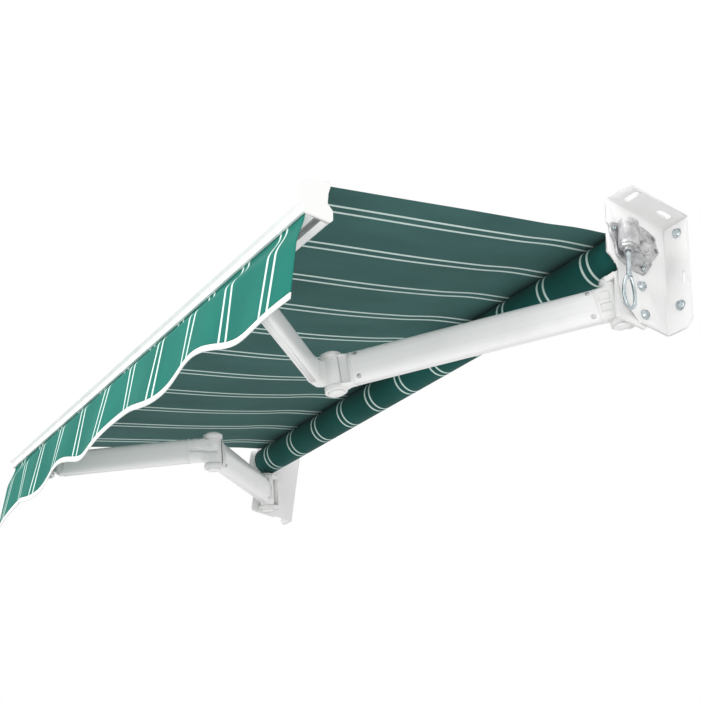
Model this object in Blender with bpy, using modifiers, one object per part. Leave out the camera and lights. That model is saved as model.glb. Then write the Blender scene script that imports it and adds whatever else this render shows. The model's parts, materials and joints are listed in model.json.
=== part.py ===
"""A folding-arm awning with striped cloth, an open roller and a crank gearbox.

Metres, +Z up. The origin lies on the wall, at mid width, level with the roller's axis.
+X runs along the roller to the end with the gearbox and +Y points at the wall. The awning
is modelled run out, as it hangs in use. The right-hand pieces are modelled and the
left-hand ones are mirrored from them across X = 0.
"""
import math

import bmesh
import bpy
from mathutils import Matrix, Vector

MM = 0.001

# Clearances.
TOUCH_GAP = 0.3 * MM
RUNNING_GAP = 0.5 * MM
PIN_GAP = 0.4 * MM
OPEN_PIVOT_GAP = 1.2 * MM

# Cloth.
STRIPE_PITCH = 124 * MM
STRIPE_PAIRS = 11
CLOTH_WIDTH = STRIPE_PITCH * STRIPE_PAIRS
CLOTH_THICKNESS = 0.8 * MM
CANOPY_SAG = 7 * MM
VALANCE_DROP = 158 * MM
HEM_WAVE = 14 * MM
HEM_PERIOD = 310 * MM
HEM_SHIFT = 100 * MM
FLUTE_DEPTH = 7 * MM
FLUTE_PERIOD = 207 * MM
BINDING_HEIGHT = 9 * MM
BINDING_THICKNESS = 2.2 * MM

# Roller and the cloth left on it.
ROLLER_RADIUS = 35 * MM
ROLLER_WALL = 1.6 * MM
ROLL_TURNS = 4
ROLL_PLY = 0.55 * MM
WALL_TO_ROLLER = 111 * MM
PLUG_FLANGE = 3 * MM
PLUG_DEPTH = 32 * MM
SHAFT_RADIUS = 6.5 * MM
IDLER_RADIUS = 6 * MM
BUSH_RADIUS = 10 * MM
BUSH_FLANGE_RADIUS = 15 * MM
BUSH_FLANGE = 2.5 * MM

# Wall brackets, folded from steel plate.
PLATE = 5 * MM
BEND_RADIUS = 7 * MM
PLATE_SIDE_GAP = 8 * MM
BRACKET_TOP = 105 * MM
BRACKET_BOTTOM = -143 * MM
FLANGE_WIDTH = 56 * MM
EAR_FRONT = 47 * MM
EAR_BOTTOM = 46 * MM
NOTCH_DEPTH = 15 * MM
NOTCH_HEIGHT = 27 * MM
TAB_BOTTOM = -21 * MM
WAIST_FRONT = 20 * MM
TOE_TOP = -114 * MM
TOE_FRONT = 8 * MM
HEEL_FRONT = -38 * MM
WALL_BOLT_HEIGHTS = (72 * MM, -92 * MM)
WALL_BOLT_INSET = 33 * MM
WALL_BOLT_RADIUS = 4 * MM
WALL_HOLE_RADIUS = 5.5 * MM
WALL_SLOT = (30 * MM, 9 * MM)
WALL_SLOT_HEIGHT = -34 * MM
WALL_SLOT_INSET = 42 * MM
TOP_SLOT = (34 * MM, 9 * MM)
TOP_SLOT_PLACES = (38 * MM, 126 * MM)

# Hexagon-headed bolts.
HEAD_RADIUS = 7.4 * MM
HEAD_HEIGHT = 5.5 * MM
WASHER_RADIUS = 10.5 * MM
WASHER_THICKNESS = 1.6 * MM
CARRIAGE_BOLT_RADIUS = 4 * MM

# Arms. The arm plane drops by ARM_PITCH towards the front and by ARM_DROOP towards the elbow.
ARM_PITCH = math.radians(14.6)
ARM_DROOP = math.radians(4.6)
SHOULDER_X = 661 * MM
SHOULDER_FORWARD = -4 * MM
SHOULDER_DROP = 98 * MM
REAR_LENGTH = 552 * MM
FRONT_LENGTH = 384 * MM
REAR_ANGLE = math.radians(47.4)
FRONT_ANGLE = math.radians(38.5)
REAR_TUBE_HEIGHT = 68 * MM
REAR_TUBE_WIDTH = 36 * MM
FRONT_TUBE_HEIGHT = 56 * MM
FRONT_TUBE_WIDTH = 27 * MM
TUBE_WALL = 2.2 * MM
TUBE_ROUNDNESS = 3.0
FRONT_OFFSET_ELBOW = 27 * MM
FRONT_OFFSET_TIP = 8 * MM
PLUG_GAP = 0.3 * MM
ARM_PLUG = 34 * MM
SEAM_FLANGE = 2.5 * MM
SEAM_PROUD = 0.8 * MM

# Arm castings and pins.
SHOULDER_SEAM = 34 * MM
SHOULDER_HUB_RADIUS = 19 * MM
SHOULDER_HUB_HEIGHT = 72 * MM
SHOULDER_LUG = 11 * MM
SHOULDER_LUG_RADIUS = 20 * MM
ELBOW_REAR_SEAM = 40 * MM
ELBOW_FRONT_SEAM = 50 * MM
ELBOW_HUB_RADIUS = 19 * MM
ELBOW_HUB_HEIGHT = 58 * MM
ELBOW_LUG = 10 * MM
ELBOW_LUG_RADIUS = 20.5 * MM
TIP_SEAM = 42 * MM
TIP_HUB_RADIUS = 12 * MM
TIP_HUB_HEIGHT = 34 * MM
TIP_LUG = 6 * MM
PIN_RADIUS = 7 * MM
TIP_PIN_RADIUS = 4.5 * MM
PIN_HEAD_RADIUS = 16 * MM
PIN_HEAD_HEIGHT = 5 * MM
TIP_HEAD_RADIUS = 8 * MM
TIP_HEAD_HEIGHT = 3.5 * MM
LUG_GAP = 0.5 * MM
WEB_GAP = 2.5 * MM
MOUNT_PLATE = 5 * MM
MOUNT_WEB = 8 * MM

# Arm springs.
SPRING_RADIUS = 9 * MM
SPRING_WIRE = 1.5 * MM
SPRING_TURNS = 10
SPRING_LENGTH = 200 * MM
SPRING_HOOK = 30 * MM

# Front bar, an extruded profile. Its outline is measured from a point over the front arms' tips.
BAR_BEYOND_TIP = 14.9938 * MM
BAR_ABOVE_TIP = 80.9168 * MM
BAR_CAP = 5 * MM
BAR_CAP_TONGUE = 10 * MM
BAR_BOTTOM = -36 * MM
BAR_OUTLINE = (
    (-33, 6, 6), (-14, 26, 14), (13, 39, 6), (22, 35, 3), (19, 15, 5), (20, -4, 4), (31, -13, 3),
    (33, -30, 3), (27, -36, 2.5), (-19, -36, 1.5), (-22, -25, 1.5), (-30, -21, 3),
)
BAR_HOLLOW = (
    (-29.5, 5, 3), (-13, 21.5, 8), (4, 29, 3), (15, 22, 3), (16, -5, 2), (22, -14, 2), (-3, -14, 2),
    (-24, -16, 2),
)
ROD_GROOVE_RADIUS = 3.6 * MM
ROD_RADIUS = 2.9 * MM
ROD_MOUTH = 2.8 * MM
CANOPY_GROOVE = (13.5 * MM, 31.5 * MM)
VALANCE_GROOVE = (-13 * MM, -29 * MM)
CLAMP_CHANNEL = (-1 * MM, 19 * MM, -31 * MM, -18.5 * MM)
CLAMP_MOUTH = (3 * MM, 15 * MM)
CLEVIS_BASE = 6 * MM
CLEVIS_LENGTH = 52 * MM
CLAMP_BLOCK_LENGTH = 30 * MM

# Gearbox, bolted to the outside of the right-hand bracket.
GEARBOX_RADIUS = 41 * MM
GEARBOX_DEPTH = 30 * MM
GEARBOX_FLANGE_RADIUS = 46 * MM
GEARBOX_FLANGE = 6 * MM
GEARBOX_COVER = 4 * MM
GEARBOX_SCREW_PLACES = ((-37 * MM, 31 * MM), (37 * MM, 32 * MM), (37 * MM, -29 * MM))
WORM_FORWARD = 20 * MM
WORM_OUT = 25 * MM
WORM_HOUSING_RADIUS = 15 * MM
WORM_TOP = 46 * MM
WORM_BOTTOM = -26 * MM
NOZZLE_RADIUS = 9 * MM
NOZZLE_LENGTH = 8 * MM
STEM_RADIUS = 4.5 * MM
STEM_LENGTH = 52 * MM
EYE_HEIGHT = 76 * MM
EYE_WIDTH = 38 * MM
EYE_WIRE_RADIUS = 4 * MM
EYE_TURN = math.radians(-50)

ROLL_RADIUS = ROLLER_RADIUS + TOUCH_GAP + ROLL_TURNS * ROLL_PLY
CLOTH_HALF = CLOTH_WIDTH / 2
PLATE_INNER_X = CLOTH_HALF + PLATE_SIDE_GAP
PLATE_OUTER_X = PLATE_INNER_X + PLATE
AXIS = Vector((0, -WALL_TO_ROLLER, 0))
BAR_HALF = CLOTH_HALF + 1 * MM

WHITE_COAT = ("white_powder_coat", (0.80, 0.80, 0.79), 0.38, 0.0)
WHITE_EXTRUSION = ("white_coated_aluminium", (0.80, 0.80, 0.79), 0.36, 0.0)
CAST_WHITE = ("white_cast_metal", (0.78, 0.78, 0.76), 0.45, 0.0)
WHITE_PLASTIC = ("white_plastic", (0.84, 0.84, 0.83), 0.35, 0.0)
CANOPY_GREEN = ("canopy_cloth", (0.025, 0.10, 0.085), 0.9, 0.0)
VALANCE_GREEN = ("valance_cloth", (0.03, 0.30, 0.22), 0.85, 0.0)
BINDING_WHITE = ("hem_tape", (0.78, 0.82, 0.79), 0.8, 0.0)
ZINC = ("zinc_plated_steel", (0.60, 0.66, 0.67), 0.32, 0.9)
DIE_CAST = ("die_cast_alloy", (0.55, 0.55, 0.53), 0.42, 0.8)
SPRING_STEEL = ("spring_steel", (0.18, 0.18, 0.18), 0.4, 0.9)
NYLON = ("nylon", (0.75, 0.75, 0.70), 0.5, 0.0)


def clear_scene():
    """Empty the scene, so the script gives the same model each time it runs."""
    for old in list(bpy.data.objects):
        bpy.data.objects.remove(old, do_unlink=True)


def collection(name):
    """A collection of that name, linked to the scene."""
    made = bpy.data.collections.get(name) or bpy.data.collections.new(name)
    if made.name not in bpy.context.scene.collection.children:
        bpy.context.scene.collection.children.link(made)
    return made


def material(finish):
    """The Principled material of one finish, made once."""
    name, colour, roughness, metallic = finish
    made = bpy.data.materials.get(name)
    if made is None:
        made = bpy.data.materials.new(name)
        made.use_nodes = True
        shader = made.node_tree.nodes["Principled BSDF"]
        shader.inputs["Base Color"].default_value = (*colour, 1.0)
        shader.inputs["Roughness"].default_value = roughness
        shader.inputs["Metallic"].default_value = metallic
        made.diffuse_color = (*colour, 1.0)
    return made


def own_material(obj, finish):
    """Give the object a copy of the finish under its own name."""
    made = material(finish).copy()
    made.name = f"{obj.name}_{finish[0]}"
    obj.data.materials.clear()
    obj.data.materials.append(made)


def link_only(obj, home):
    """Keep the object in one collection."""
    for old in list(obj.users_collection):
        old.objects.unlink(obj)
    collection(home).objects.link(obj)


def part(obj, name, finish):
    """Name a finished piece, colour it and file it with the parts."""
    obj.name = name
    obj.data.name = name
    link_only(obj, "folding_arm_awning")
    own_material(obj, finish)
    obj.data.shade_smooth()
    obj.data.set_sharp_from_angle(angle=math.radians(32))
    return obj


def tool(obj, name):
    """File a cutter or a joined shape away from the parts."""
    obj.name = name
    link_only(obj, "cutters")
    obj.hide_render = True
    obj.display_type = "WIRE"
    return obj


def plane(u_axis, v_axis, origin):
    """A matrix whose X and Y are the two axes of a drawing plane."""
    u, v = Vector(u_axis).normalized(), Vector(v_axis).normalized()
    w = u.cross(v)
    made = Matrix.Identity(4)
    for column, axis in enumerate((u, v, w, Vector(origin))):
        for row in range(3):
            made[row][column] = axis[row]
    return made


def plane_x(x=0.0):
    """Drawing plane across X: u is Y, v is Z, and the extrusion runs along +X."""
    return plane((0, 1, 0), (0, 0, 1), AXIS + Vector((x, 0, 0)))


def plane_y(y=0.0):
    """Drawing plane across Y: u is Z, v is X, and the extrusion runs along +Y from the wall."""
    return plane((0, 0, 1), (1, 0, 0), (0, y, 0))


def plane_z(z=0.0):
    """Drawing plane across Z, through the roller's axis: u is X, v is Y."""
    return plane((1, 0, 0), (0, 1, 0), AXIS + Vector((0, 0, z)))


def evaluated_mesh(obj, name):
    """The object's evaluated shape as a mesh object, in place of the object."""
    bpy.context.view_layer.update()
    graph = bpy.context.evaluated_depsgraph_get()
    mesh = bpy.data.meshes.new_from_object(obj.evaluated_get(graph))
    shape = bmesh.new()
    shape.from_mesh(mesh)
    bmesh.ops.remove_doubles(shape, verts=shape.verts, dist=1e-6)
    bmesh.ops.recalc_face_normals(shape, faces=shape.faces)
    shape.to_mesh(mesh)
    shape.free()
    made = bpy.data.objects.new(name, mesh)
    made.matrix_world = obj.matrix_world
    bpy.data.objects.remove(obj, do_unlink=True)
    bpy.context.scene.collection.objects.link(made)
    return made


def prism(name, loops, start, end, matrix):
    """Extrude an outline with holes from start to end along the drawing plane's normal."""
    curve = bpy.data.curves.new(name, "CURVE")
    curve.dimensions = "2D"
    curve.fill_mode = "BOTH"
    curve.extrude = (end - start) / 2
    for loop in loops:
        spline = curve.splines.new("POLY")
        spline.points.add(len(loop) - 1)
        for point, (u, v) in zip(spline.points, loop):
            point.co = (u, v, 0, 1)
        spline.use_cyclic_u = True
    drawn = bpy.data.objects.new(name, curve)
    drawn.matrix_world = matrix @ Matrix.Translation((0, 0, (start + end) / 2))
    bpy.context.scene.collection.objects.link(drawn)
    return evaluated_mesh(drawn, name)


def cylinder(name, radius, start, end, matrix, sides=24, top_radius=None):
    """A cylinder or cone along the normal of a drawing plane, from start to end."""
    mesh = bpy.data.meshes.new(name)
    shape = bmesh.new()
    bmesh.ops.create_cone(shape, cap_ends=True, segments=sides, radius1=radius,
                          radius2=radius if top_radius is None else top_radius, depth=end - start)
    shape.to_mesh(mesh)
    shape.free()
    made = bpy.data.objects.new(name, mesh)
    made.matrix_world = matrix @ Matrix.Translation((0, 0, (start + end) / 2))
    bpy.context.scene.collection.objects.link(made)
    return made


def box(name, low, high, matrix=None):
    """A box between two corners, in world axes or in a drawing plane."""
    low, high = Vector(low), Vector(high)
    mesh = bpy.data.meshes.new(name)
    shape = bmesh.new()
    bmesh.ops.create_cube(shape, size=1.0)
    bmesh.ops.scale(shape, vec=high - low, verts=shape.verts)
    shape.to_mesh(mesh)
    shape.free()
    made = bpy.data.objects.new(name, mesh)
    made.matrix_world = (matrix or Matrix.Identity(4)) @ Matrix.Translation((low + high) / 2)
    bpy.context.scene.collection.objects.link(made)
    return made


def combine(target, other, operation):
    """Add a Boolean modifier that cuts, joins or keeps what the other shape says."""
    modifier = target.modifiers.new(f"{operation.lower()}_{other.name}", "BOOLEAN")
    modifier.operation = operation
    modifier.solver = "EXACT"
    modifier.object = tool(other, other.name)
    return target


def cut(target, *others):
    """Cut shapes away."""
    for other in others:
        combine(target, other, "DIFFERENCE")
    return target


def join(target, *others):
    """Join shapes on."""
    for other in others:
        combine(target, other, "UNION")
    return target


def settle(obj):
    """Turn the modifiers of a shape into its mesh, for a shape that is copied or joined later."""
    return evaluated_mesh(obj, obj.name)


def mirrored(obj, name, finish):
    """The left-hand copy of a right-hand piece."""
    bpy.context.view_layer.update()
    graph = bpy.context.evaluated_depsgraph_get()
    mesh = bpy.data.meshes.new_from_object(obj.evaluated_get(graph))
    across = Matrix.Scale(-1, 4, (1, 0, 0))
    mesh.transform(across @ obj.matrix_world)
    mesh.flip_normals()
    made = bpy.data.objects.new(name, mesh)
    bpy.context.scene.collection.objects.link(made)
    return part(made, name, finish)


def pair(obj, name, finish):
    """Finish a right-hand piece and mirror it to the left."""
    right = part(obj, f"{name}_right", finish)
    mirrored(right, f"{name}_left", finish)
    return right


def circle(radius, centre=(0, 0), count=24):
    """Points of a circle."""
    turn = 2 * math.pi / count
    return [(centre[0] + radius * math.cos(turn * i), centre[1] + radius * math.sin(turn * i))
            for i in range(count)]


def rounded(points):
    """A closed outline from corners (u, v, radius), each rounded by an arc of its radius."""
    outline = []
    count = len(points)
    for i, (u, v, radius) in enumerate(points):
        here = Vector((u, v))
        before = (Vector(points[i - 1][:2]) - here).normalized()
        after = (Vector(points[(i + 1) % count][:2]) - here).normalized()
        if radius <= 0:
            outline.append((u, v))
            continue
        half = before.angle(after) / 2
        centre = here + (before + after).normalized() * radius / math.sin(half)
        first = here + before * radius / math.tan(half) - centre
        last = here + after * radius / math.tan(half) - centre
        sweep = math.atan2(first.x * last.y - first.y * last.x, first.dot(last))
        steps = 3 if radius > 3 * MM and abs(sweep) > math.radians(40) else 2
        for step in range(steps + 1):
            part_turn = Matrix.Rotation(sweep * step / steps, 2) @ first
            outline.append(tuple(centre + part_turn))
    return outline


def rectangle(u0, v0, u1, v1, radius=0.0):
    """An upright rectangle with rounded corners."""
    return rounded([(u0, v0, radius), (u1, v0, radius), (u1, v1, radius), (u0, v1, radius)])


def slot(centre, length, width, along_v=True):
    """A slot with round ends."""
    half_u, half_v = (width / 2, length / 2) if along_v else (length / 2, width / 2)
    return rectangle(centre[0] - half_u, centre[1] - half_v, centre[0] + half_u, centre[1] + half_v,
                     width / 2 * 0.999)


def oval(width, height, offset=0.0, count=24, power=TUBE_ROUNDNESS):
    """The flattened oval of an arm tube, u across and v up."""
    points = []
    for i in range(count):
        angle = 2 * math.pi * i / count
        c, s = math.cos(angle), math.sin(angle)
        u = abs(c) ** (2 / power) * math.copysign(width / 2, c)
        v = abs(s) ** (2 / power) * math.copysign(height / 2, s)
        points.append((offset + u, v))
    return points


def scaled(points, factor):
    """Corners (u, v, radius) given in millimetres, in metres."""
    return [tuple(value * factor for value in point) for point in points]


class Linkage:
    """Pivots and axes of the right-hand arm, worked out from the driving dimensions."""

    def __init__(self):
        travel = Vector((0, -math.cos(ARM_PITCH), -math.sin(ARM_PITCH)))
        lift = Vector((0, -math.sin(ARM_PITCH), math.cos(ARM_PITCH)))
        across = Vector((math.cos(ARM_DROOP), 0, 0)) + math.sin(ARM_DROOP) * lift
        self.travel = travel
        self.across = across
        self.axis = across.cross(-travel)
        self.rear = math.cos(REAR_ANGLE) * travel - math.sin(REAR_ANGLE) * across
        self.front = math.cos(FRONT_ANGLE) * travel + math.sin(FRONT_ANGLE) * across
        self.shoulder = AXIS + Vector((SHOULDER_X, -SHOULDER_FORWARD, -SHOULDER_DROP))
        self.elbow = self.shoulder + REAR_LENGTH * self.rear
        self.tip = self.elbow + FRONT_LENGTH * self.front
        run = FRONT_LENGTH - ELBOW_FRONT_SEAM - TIP_SEAM
        turn = math.atan2(FRONT_OFFSET_ELBOW - FRONT_OFFSET_TIP, run)
        side = self.axis.cross(self.front)
        self.front_tube = math.cos(turn) * self.front + math.sin(turn) * side
        self.front_tube_start = (self.elbow + ELBOW_FRONT_SEAM * self.front
                                 - FRONT_OFFSET_ELBOW * side)
        self.front_tube_length = run / math.cos(turn)

    def plan(self, origin, along):
        """Drawing plane seen from above an arm: u along it, v to its left."""
        return plane(along, self.axis.cross(along), origin)

    def section(self, origin, along):
        """Drawing plane across an arm: u to its left, v up its pin axis."""
        return plane(self.axis.cross(along), self.axis, origin)


LINK = Linkage()
BAR_ORIGIN = Vector((0, LINK.tip.y - BAR_BEYOND_TIP, LINK.tip.z + BAR_ABOVE_TIP))


def bracket():
    """Wall bracket: one plate folded outwards at its back and top edges."""
    low, high = BRACKET_BOTTOM, BRACKET_TOP
    wall = WALL_TO_ROLLER
    outer = PLATE_INNER_X + FLANGE_WIDTH + PLATE
    inside = BEND_RADIUS - PLATE
    back_angle = rounded([
        (PLATE_INNER_X, -WALL_TO_ROLLER, 0), (PLATE_OUTER_X, -WALL_TO_ROLLER, 0),
        (PLATE_OUTER_X, wall - PLATE, inside), (outer, wall - PLATE, 0), (outer, wall, 0),
        (PLATE_INNER_X, wall, BEND_RADIUS),
    ])
    body = prism("bracket_angle", [back_angle], low - PLATE, high + PLATE, plane_z())
    fold = high - BEND_RADIUS - PLATE / 2
    side_outline = rounded([
        (wall + PLATE, low, 0), (wall + PLATE, fold, 0), (-EAR_FRONT, fold, 0),
        (-EAR_FRONT, EAR_BOTTOM, 3 * MM),
        (-EAR_FRONT + NOTCH_DEPTH, EAR_BOTTOM - NOTCH_HEIGHT / 2, 2 * MM),
        (-EAR_FRONT, EAR_BOTTOM - NOTCH_HEIGHT, 2 * MM), (-EAR_FRONT, TAB_BOTTOM, 3 * MM),
        (-WAIST_FRONT, TAB_BOTTOM - 16 * MM, 16 * MM), (-WAIST_FRONT + 4 * MM, -82 * MM, 20 * MM),
        (-TOE_FRONT, TOE_TOP, 6 * MM), (-HEEL_FRONT, low, 6 * MM),
    ])
    combine(body, prism("bracket_side_outline", [side_outline], PLATE_INNER_X - PLATE,
                        outer + PLATE, plane_x()), "INTERSECT")
    top_angle = rounded([
        (BRACKET_TOP - BEND_RADIUS - PLATE, PLATE_INNER_X, 0),
        (BRACKET_TOP, PLATE_INNER_X, BEND_RADIUS), (BRACKET_TOP, outer, 0),
        (BRACKET_TOP - PLATE, outer, 0), (BRACKET_TOP - PLATE, PLATE_OUTER_X, inside),
        (BRACKET_TOP - BEND_RADIUS - PLATE, PLATE_OUTER_X, 0),
    ])
    front = -WALL_TO_ROLLER - EAR_FRONT
    join(body, prism("bracket_top_flange", [top_angle], front, 0, plane_y()))
    front_corner = rounded([
        (outer + PLATE, -EAR_FRONT - PLATE, 0), (outer + PLATE, -EAR_FRONT + 16 * MM, 0),
        (outer, -EAR_FRONT + 16 * MM, 0), (outer - 4 * MM, -EAR_FRONT + 4 * MM, 6 * MM),
        (outer - 16 * MM, -EAR_FRONT, 0), (outer - 16 * MM, -EAR_FRONT - PLATE, 0),
    ])
    cut(body, prism("bracket_front_cut", [front_corner], fold - PLATE, high + PLATE, plane_z()))
    rear_corner = rounded([
        (low - PLATE, outer - 14 * MM, 0), (low, outer - 14 * MM, 0), (low + 14 * MM, outer, 0),
        (low + 14 * MM, outer + PLATE, 0), (low - PLATE, outer + PLATE, 0),
    ])
    cut(body, prism("bracket_corner_cut", [rear_corner], -2 * PLATE, PLATE, plane_y()))
    for number, height in enumerate(WALL_BOLT_HEIGHTS):
        hole = plane((0, 0, 1), (1, 0, 0), (PLATE_OUTER_X + WALL_BOLT_INSET, 0, height))
        cut(body, cylinder(f"wall_hole_{number}", WALL_HOLE_RADIUS, -3 * PLATE, PLATE, hole, 16))
    wall_slot = slot((WALL_SLOT_HEIGHT, PLATE_OUTER_X + WALL_SLOT_INSET), *WALL_SLOT, along_v=False)
    cut(body, prism("wall_slot", [wall_slot], -3 * PLATE, PLATE, plane_y()))
    for number, back in enumerate(TOP_SLOT_PLACES):
        centre = (PLATE_OUTER_X + FLANGE_WIDTH / 2, -EAR_FRONT + back)
        cut(body, prism(f"top_slot_{number}", [slot(centre, *TOP_SLOT)], high - 3 * PLATE, high + PLATE,
                        plane_z()))
    cut(body, cylinder("bearing_hole", BUSH_RADIUS + RUNNING_GAP, PLATE_INNER_X - PLATE,
                       PLATE_OUTER_X + PLATE, plane_x()))
    for number, (y, z) in enumerate(mount_bolt_places()):
        hole = plane_x() @ Matrix.Translation((y, z, 0))
        cut(body, cylinder(f"mount_hole_{number}", CARRIAGE_BOLT_RADIUS + RUNNING_GAP,
                           PLATE_INNER_X - PLATE, PLATE_OUTER_X + PLATE, hole, 12))
    return body


def mount_bolt_places():
    """Centres (y, z) of the two bolts that hold a shoulder casting, from the roller's axis."""
    centre = LINK.shoulder - AXIS
    return ((centre.y + 34 * MM, centre.z + 34 * MM), (centre.y + 40 * MM, centre.z - 26 * MM))


def hexagon_bolt(name, radius, head_at, inner_end, matrix):
    """Bolt with a hexagon head and a washer, its head standing at head_at along the normal."""
    washer_end = head_at + WASHER_THICKNESS
    bolt = turned(name, [(0, washer_end), (WASHER_RADIUS, washer_end), (WASHER_RADIUS, head_at),
                         (radius, head_at), (radius, inner_end), (0, inner_end)], matrix, 12)
    bolt = settle(bolt)
    return join(bolt, cylinder(f"{name}_head", HEAD_RADIUS, washer_end - TOUCH_GAP,
                               washer_end + HEAD_HEIGHT, matrix, 6))


def wall_bolt(name, height):
    """One wall bolt of a bracket, at that height."""
    out = plane((1, 0, 0), (0, 0, 1), (PLATE_OUTER_X + WALL_BOLT_INSET, 0, height))
    return hexagon_bolt(name, WALL_BOLT_RADIUS, PLATE + TOUCH_GAP, 0.2 * MM, out)


def shoulder_mount():
    """Casting bolted inside a bracket, with the two lugs that hold the arm's hub."""
    origin = LINK.shoulder
    seen = plane(LINK.across, LINK.axis.cross(LINK.across), origin)
    half = SHOULDER_HUB_HEIGHT / 2 + LUG_GAP
    top = half + SHOULDER_LUG
    plate_face = PLATE_INNER_X - TOUCH_GAP
    reach = PLATE_OUTER_X - SHOULDER_X
    lug = rounded([
        (reach, -SHOULDER_LUG_RADIUS + 1 * MM, 0), (reach, SHOULDER_LUG_RADIUS + 14 * MM, 0),
        (-SHOULDER_LUG_RADIUS * 0.4, SHOULDER_LUG_RADIUS + 14 * MM, 5 * MM),
        (-SHOULDER_LUG_RADIUS + 1 * MM, 0, 0), (0, -SHOULDER_LUG_RADIUS + 1 * MM, 0),
    ])
    centre = origin - AXIS
    web = rectangle(-SHOULDER_LUG_RADIUS * 0.3, SHOULDER_LUG_RADIUS + 4 * MM, reach + 1 * MM,
                    SHOULDER_LUG_RADIUS + 4 * MM + MOUNT_WEB)
    body = prism("mount_web", [web], -half - SHOULDER_LUG / 2, half + SHOULDER_LUG / 2, seen)
    for number, (low, high) in enumerate(((half, top), (-top, -half))):
        join(body, prism(f"mount_lug_{number}", [lug], low * 0.99, high * 0.99, seen),
             cylinder(f"mount_boss_{number}", SHOULDER_LUG_RADIUS, low, high, seen))
    for number, u in enumerate((-1 * MM, 11 * MM)):
        cut(body, box(f"mount_window_{number}", (u - 3.5 * MM, SHOULDER_LUG_RADIUS, -26 * MM),
                      (u + 3.5 * MM, SHOULDER_LUG_RADIUS + 30 * MM, 26 * MM), seen))
    reach_box = 99 * MM
    cut(body, box("mount_trim", (plate_face - MOUNT_PLATE / 2, origin.y - reach_box, origin.z - reach_box),
                  (plate_face + reach_box, origin.y + reach_box, origin.z + reach_box)))
    back = rectangle(centre.y - 26 * MM, centre.z - 52 * MM, centre.y + 52 * MM, centre.z + 50 * MM,
                     8 * MM)
    join(body, prism("mount_back_plate", [back], plate_face - MOUNT_PLATE, plate_face, plane_x()))
    cut(body, cylinder("mount_bore", PIN_RADIUS + PIN_GAP, -top - PLATE, top + PLATE, seen, 12))
    for number, (y, z) in enumerate(mount_bolt_places()):
        hole = plane_x() @ Matrix.Translation((y, z, 0))
        cut(body, cylinder(f"mount_tapping_{number}", CARRIAGE_BOLT_RADIUS + RUNNING_GAP,
                           plate_face - MOUNT_PLATE - PLATE, plate_face + PLATE, hole, 12))
    return body


def mount_bolt(name, place):
    """Bolt through a bracket into its shoulder casting, with its head outside."""
    out = plane_x() @ Matrix.Translation((*place, 0))
    return hexagon_bolt(name, CARRIAGE_BOLT_RADIUS, PLATE_OUTER_X + TOUCH_GAP,
                        PLATE_INNER_X - MOUNT_PLATE - 2 * MM, out)


def turned(name, profile, matrix, sides=24):
    """A turned piece: a profile of (radius, height) points from top to bottom, spun by Screw."""
    mesh = bpy.data.meshes.new(name)
    shape = bmesh.new()
    vertices = [shape.verts.new((radius, 0, height)) for radius, height in profile]
    for first, second in zip(vertices, vertices[1:]):
        shape.edges.new((first, second))
    if profile[0] == profile[-1]:
        bmesh.ops.remove_doubles(shape, verts=shape.verts, dist=1e-7)
    shape.to_mesh(mesh)
    shape.free()
    made = bpy.data.objects.new(name, mesh)
    made.matrix_world = matrix
    bpy.context.scene.collection.objects.link(made)
    screw = made.modifiers.new("turned", "SCREW")
    screw.steps = sides
    screw.render_steps = sides
    screw.use_merge_vertices = True
    screw.merge_threshold = 1e-5
    return made


def headed_pin(name, matrix, half, radius, head_radius, head_height, sides=16):
    """A pivot pin with a low domed head at each end, standing just clear of the lugs."""
    face = half + TOUCH_GAP
    edge = face + head_height * 0.6
    top = face + head_height
    upper = [(0, top), (head_radius * 0.8, top), (head_radius, edge), (head_radius, face), (radius, face)]
    lower = [(r, -z) for r, z in reversed(upper)]
    return turned(name, upper + lower, matrix, sides)


def shoulder_pin():
    """Pin of the shoulder pivot."""
    seen = LINK.plan(LINK.shoulder, LINK.across)
    half = SHOULDER_HUB_HEIGHT / 2 + LUG_GAP + SHOULDER_LUG
    return headed_pin("shoulder_pin", seen, half, PIN_RADIUS, PIN_HEAD_RADIUS, PIN_HEAD_HEIGHT)


def tube(name, width, height, length, matrix):
    """An oval arm tube, open at both ends."""
    inner = oval(width - 2 * TUBE_WALL, height - 2 * TUBE_WALL)
    return prism(name, [oval(width, height), inner], 0, length, matrix)


def tube_plug(name, width, height, matrix, direction):
    """The seam flange and the plug of a casting that enters a tube, along direction (1 or -1)."""
    flange = sorted((-direction * SEAM_FLANGE, -direction * TOUCH_GAP))
    plug = sorted((-direction * SEAM_FLANGE / 2, direction * ARM_PLUG))
    gap = 2 * (TUBE_WALL + PLUG_GAP)
    body = prism(name, [oval(width + 2 * SEAM_PROUD, height + 2 * SEAM_PROUD)], *flange, matrix)
    return join(body, prism(f"{name}_insert", [oval(width - gap, height - gap)], *plug, matrix))


def rear_tube():
    """Oval tube of the rear arm."""
    length = REAR_LENGTH - SHOULDER_SEAM - ELBOW_REAR_SEAM
    start = LINK.shoulder + SHOULDER_SEAM * LINK.rear
    return tube("rear_tube", REAR_TUBE_WIDTH, REAR_TUBE_HEIGHT, length, LINK.section(start, LINK.rear))


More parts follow.
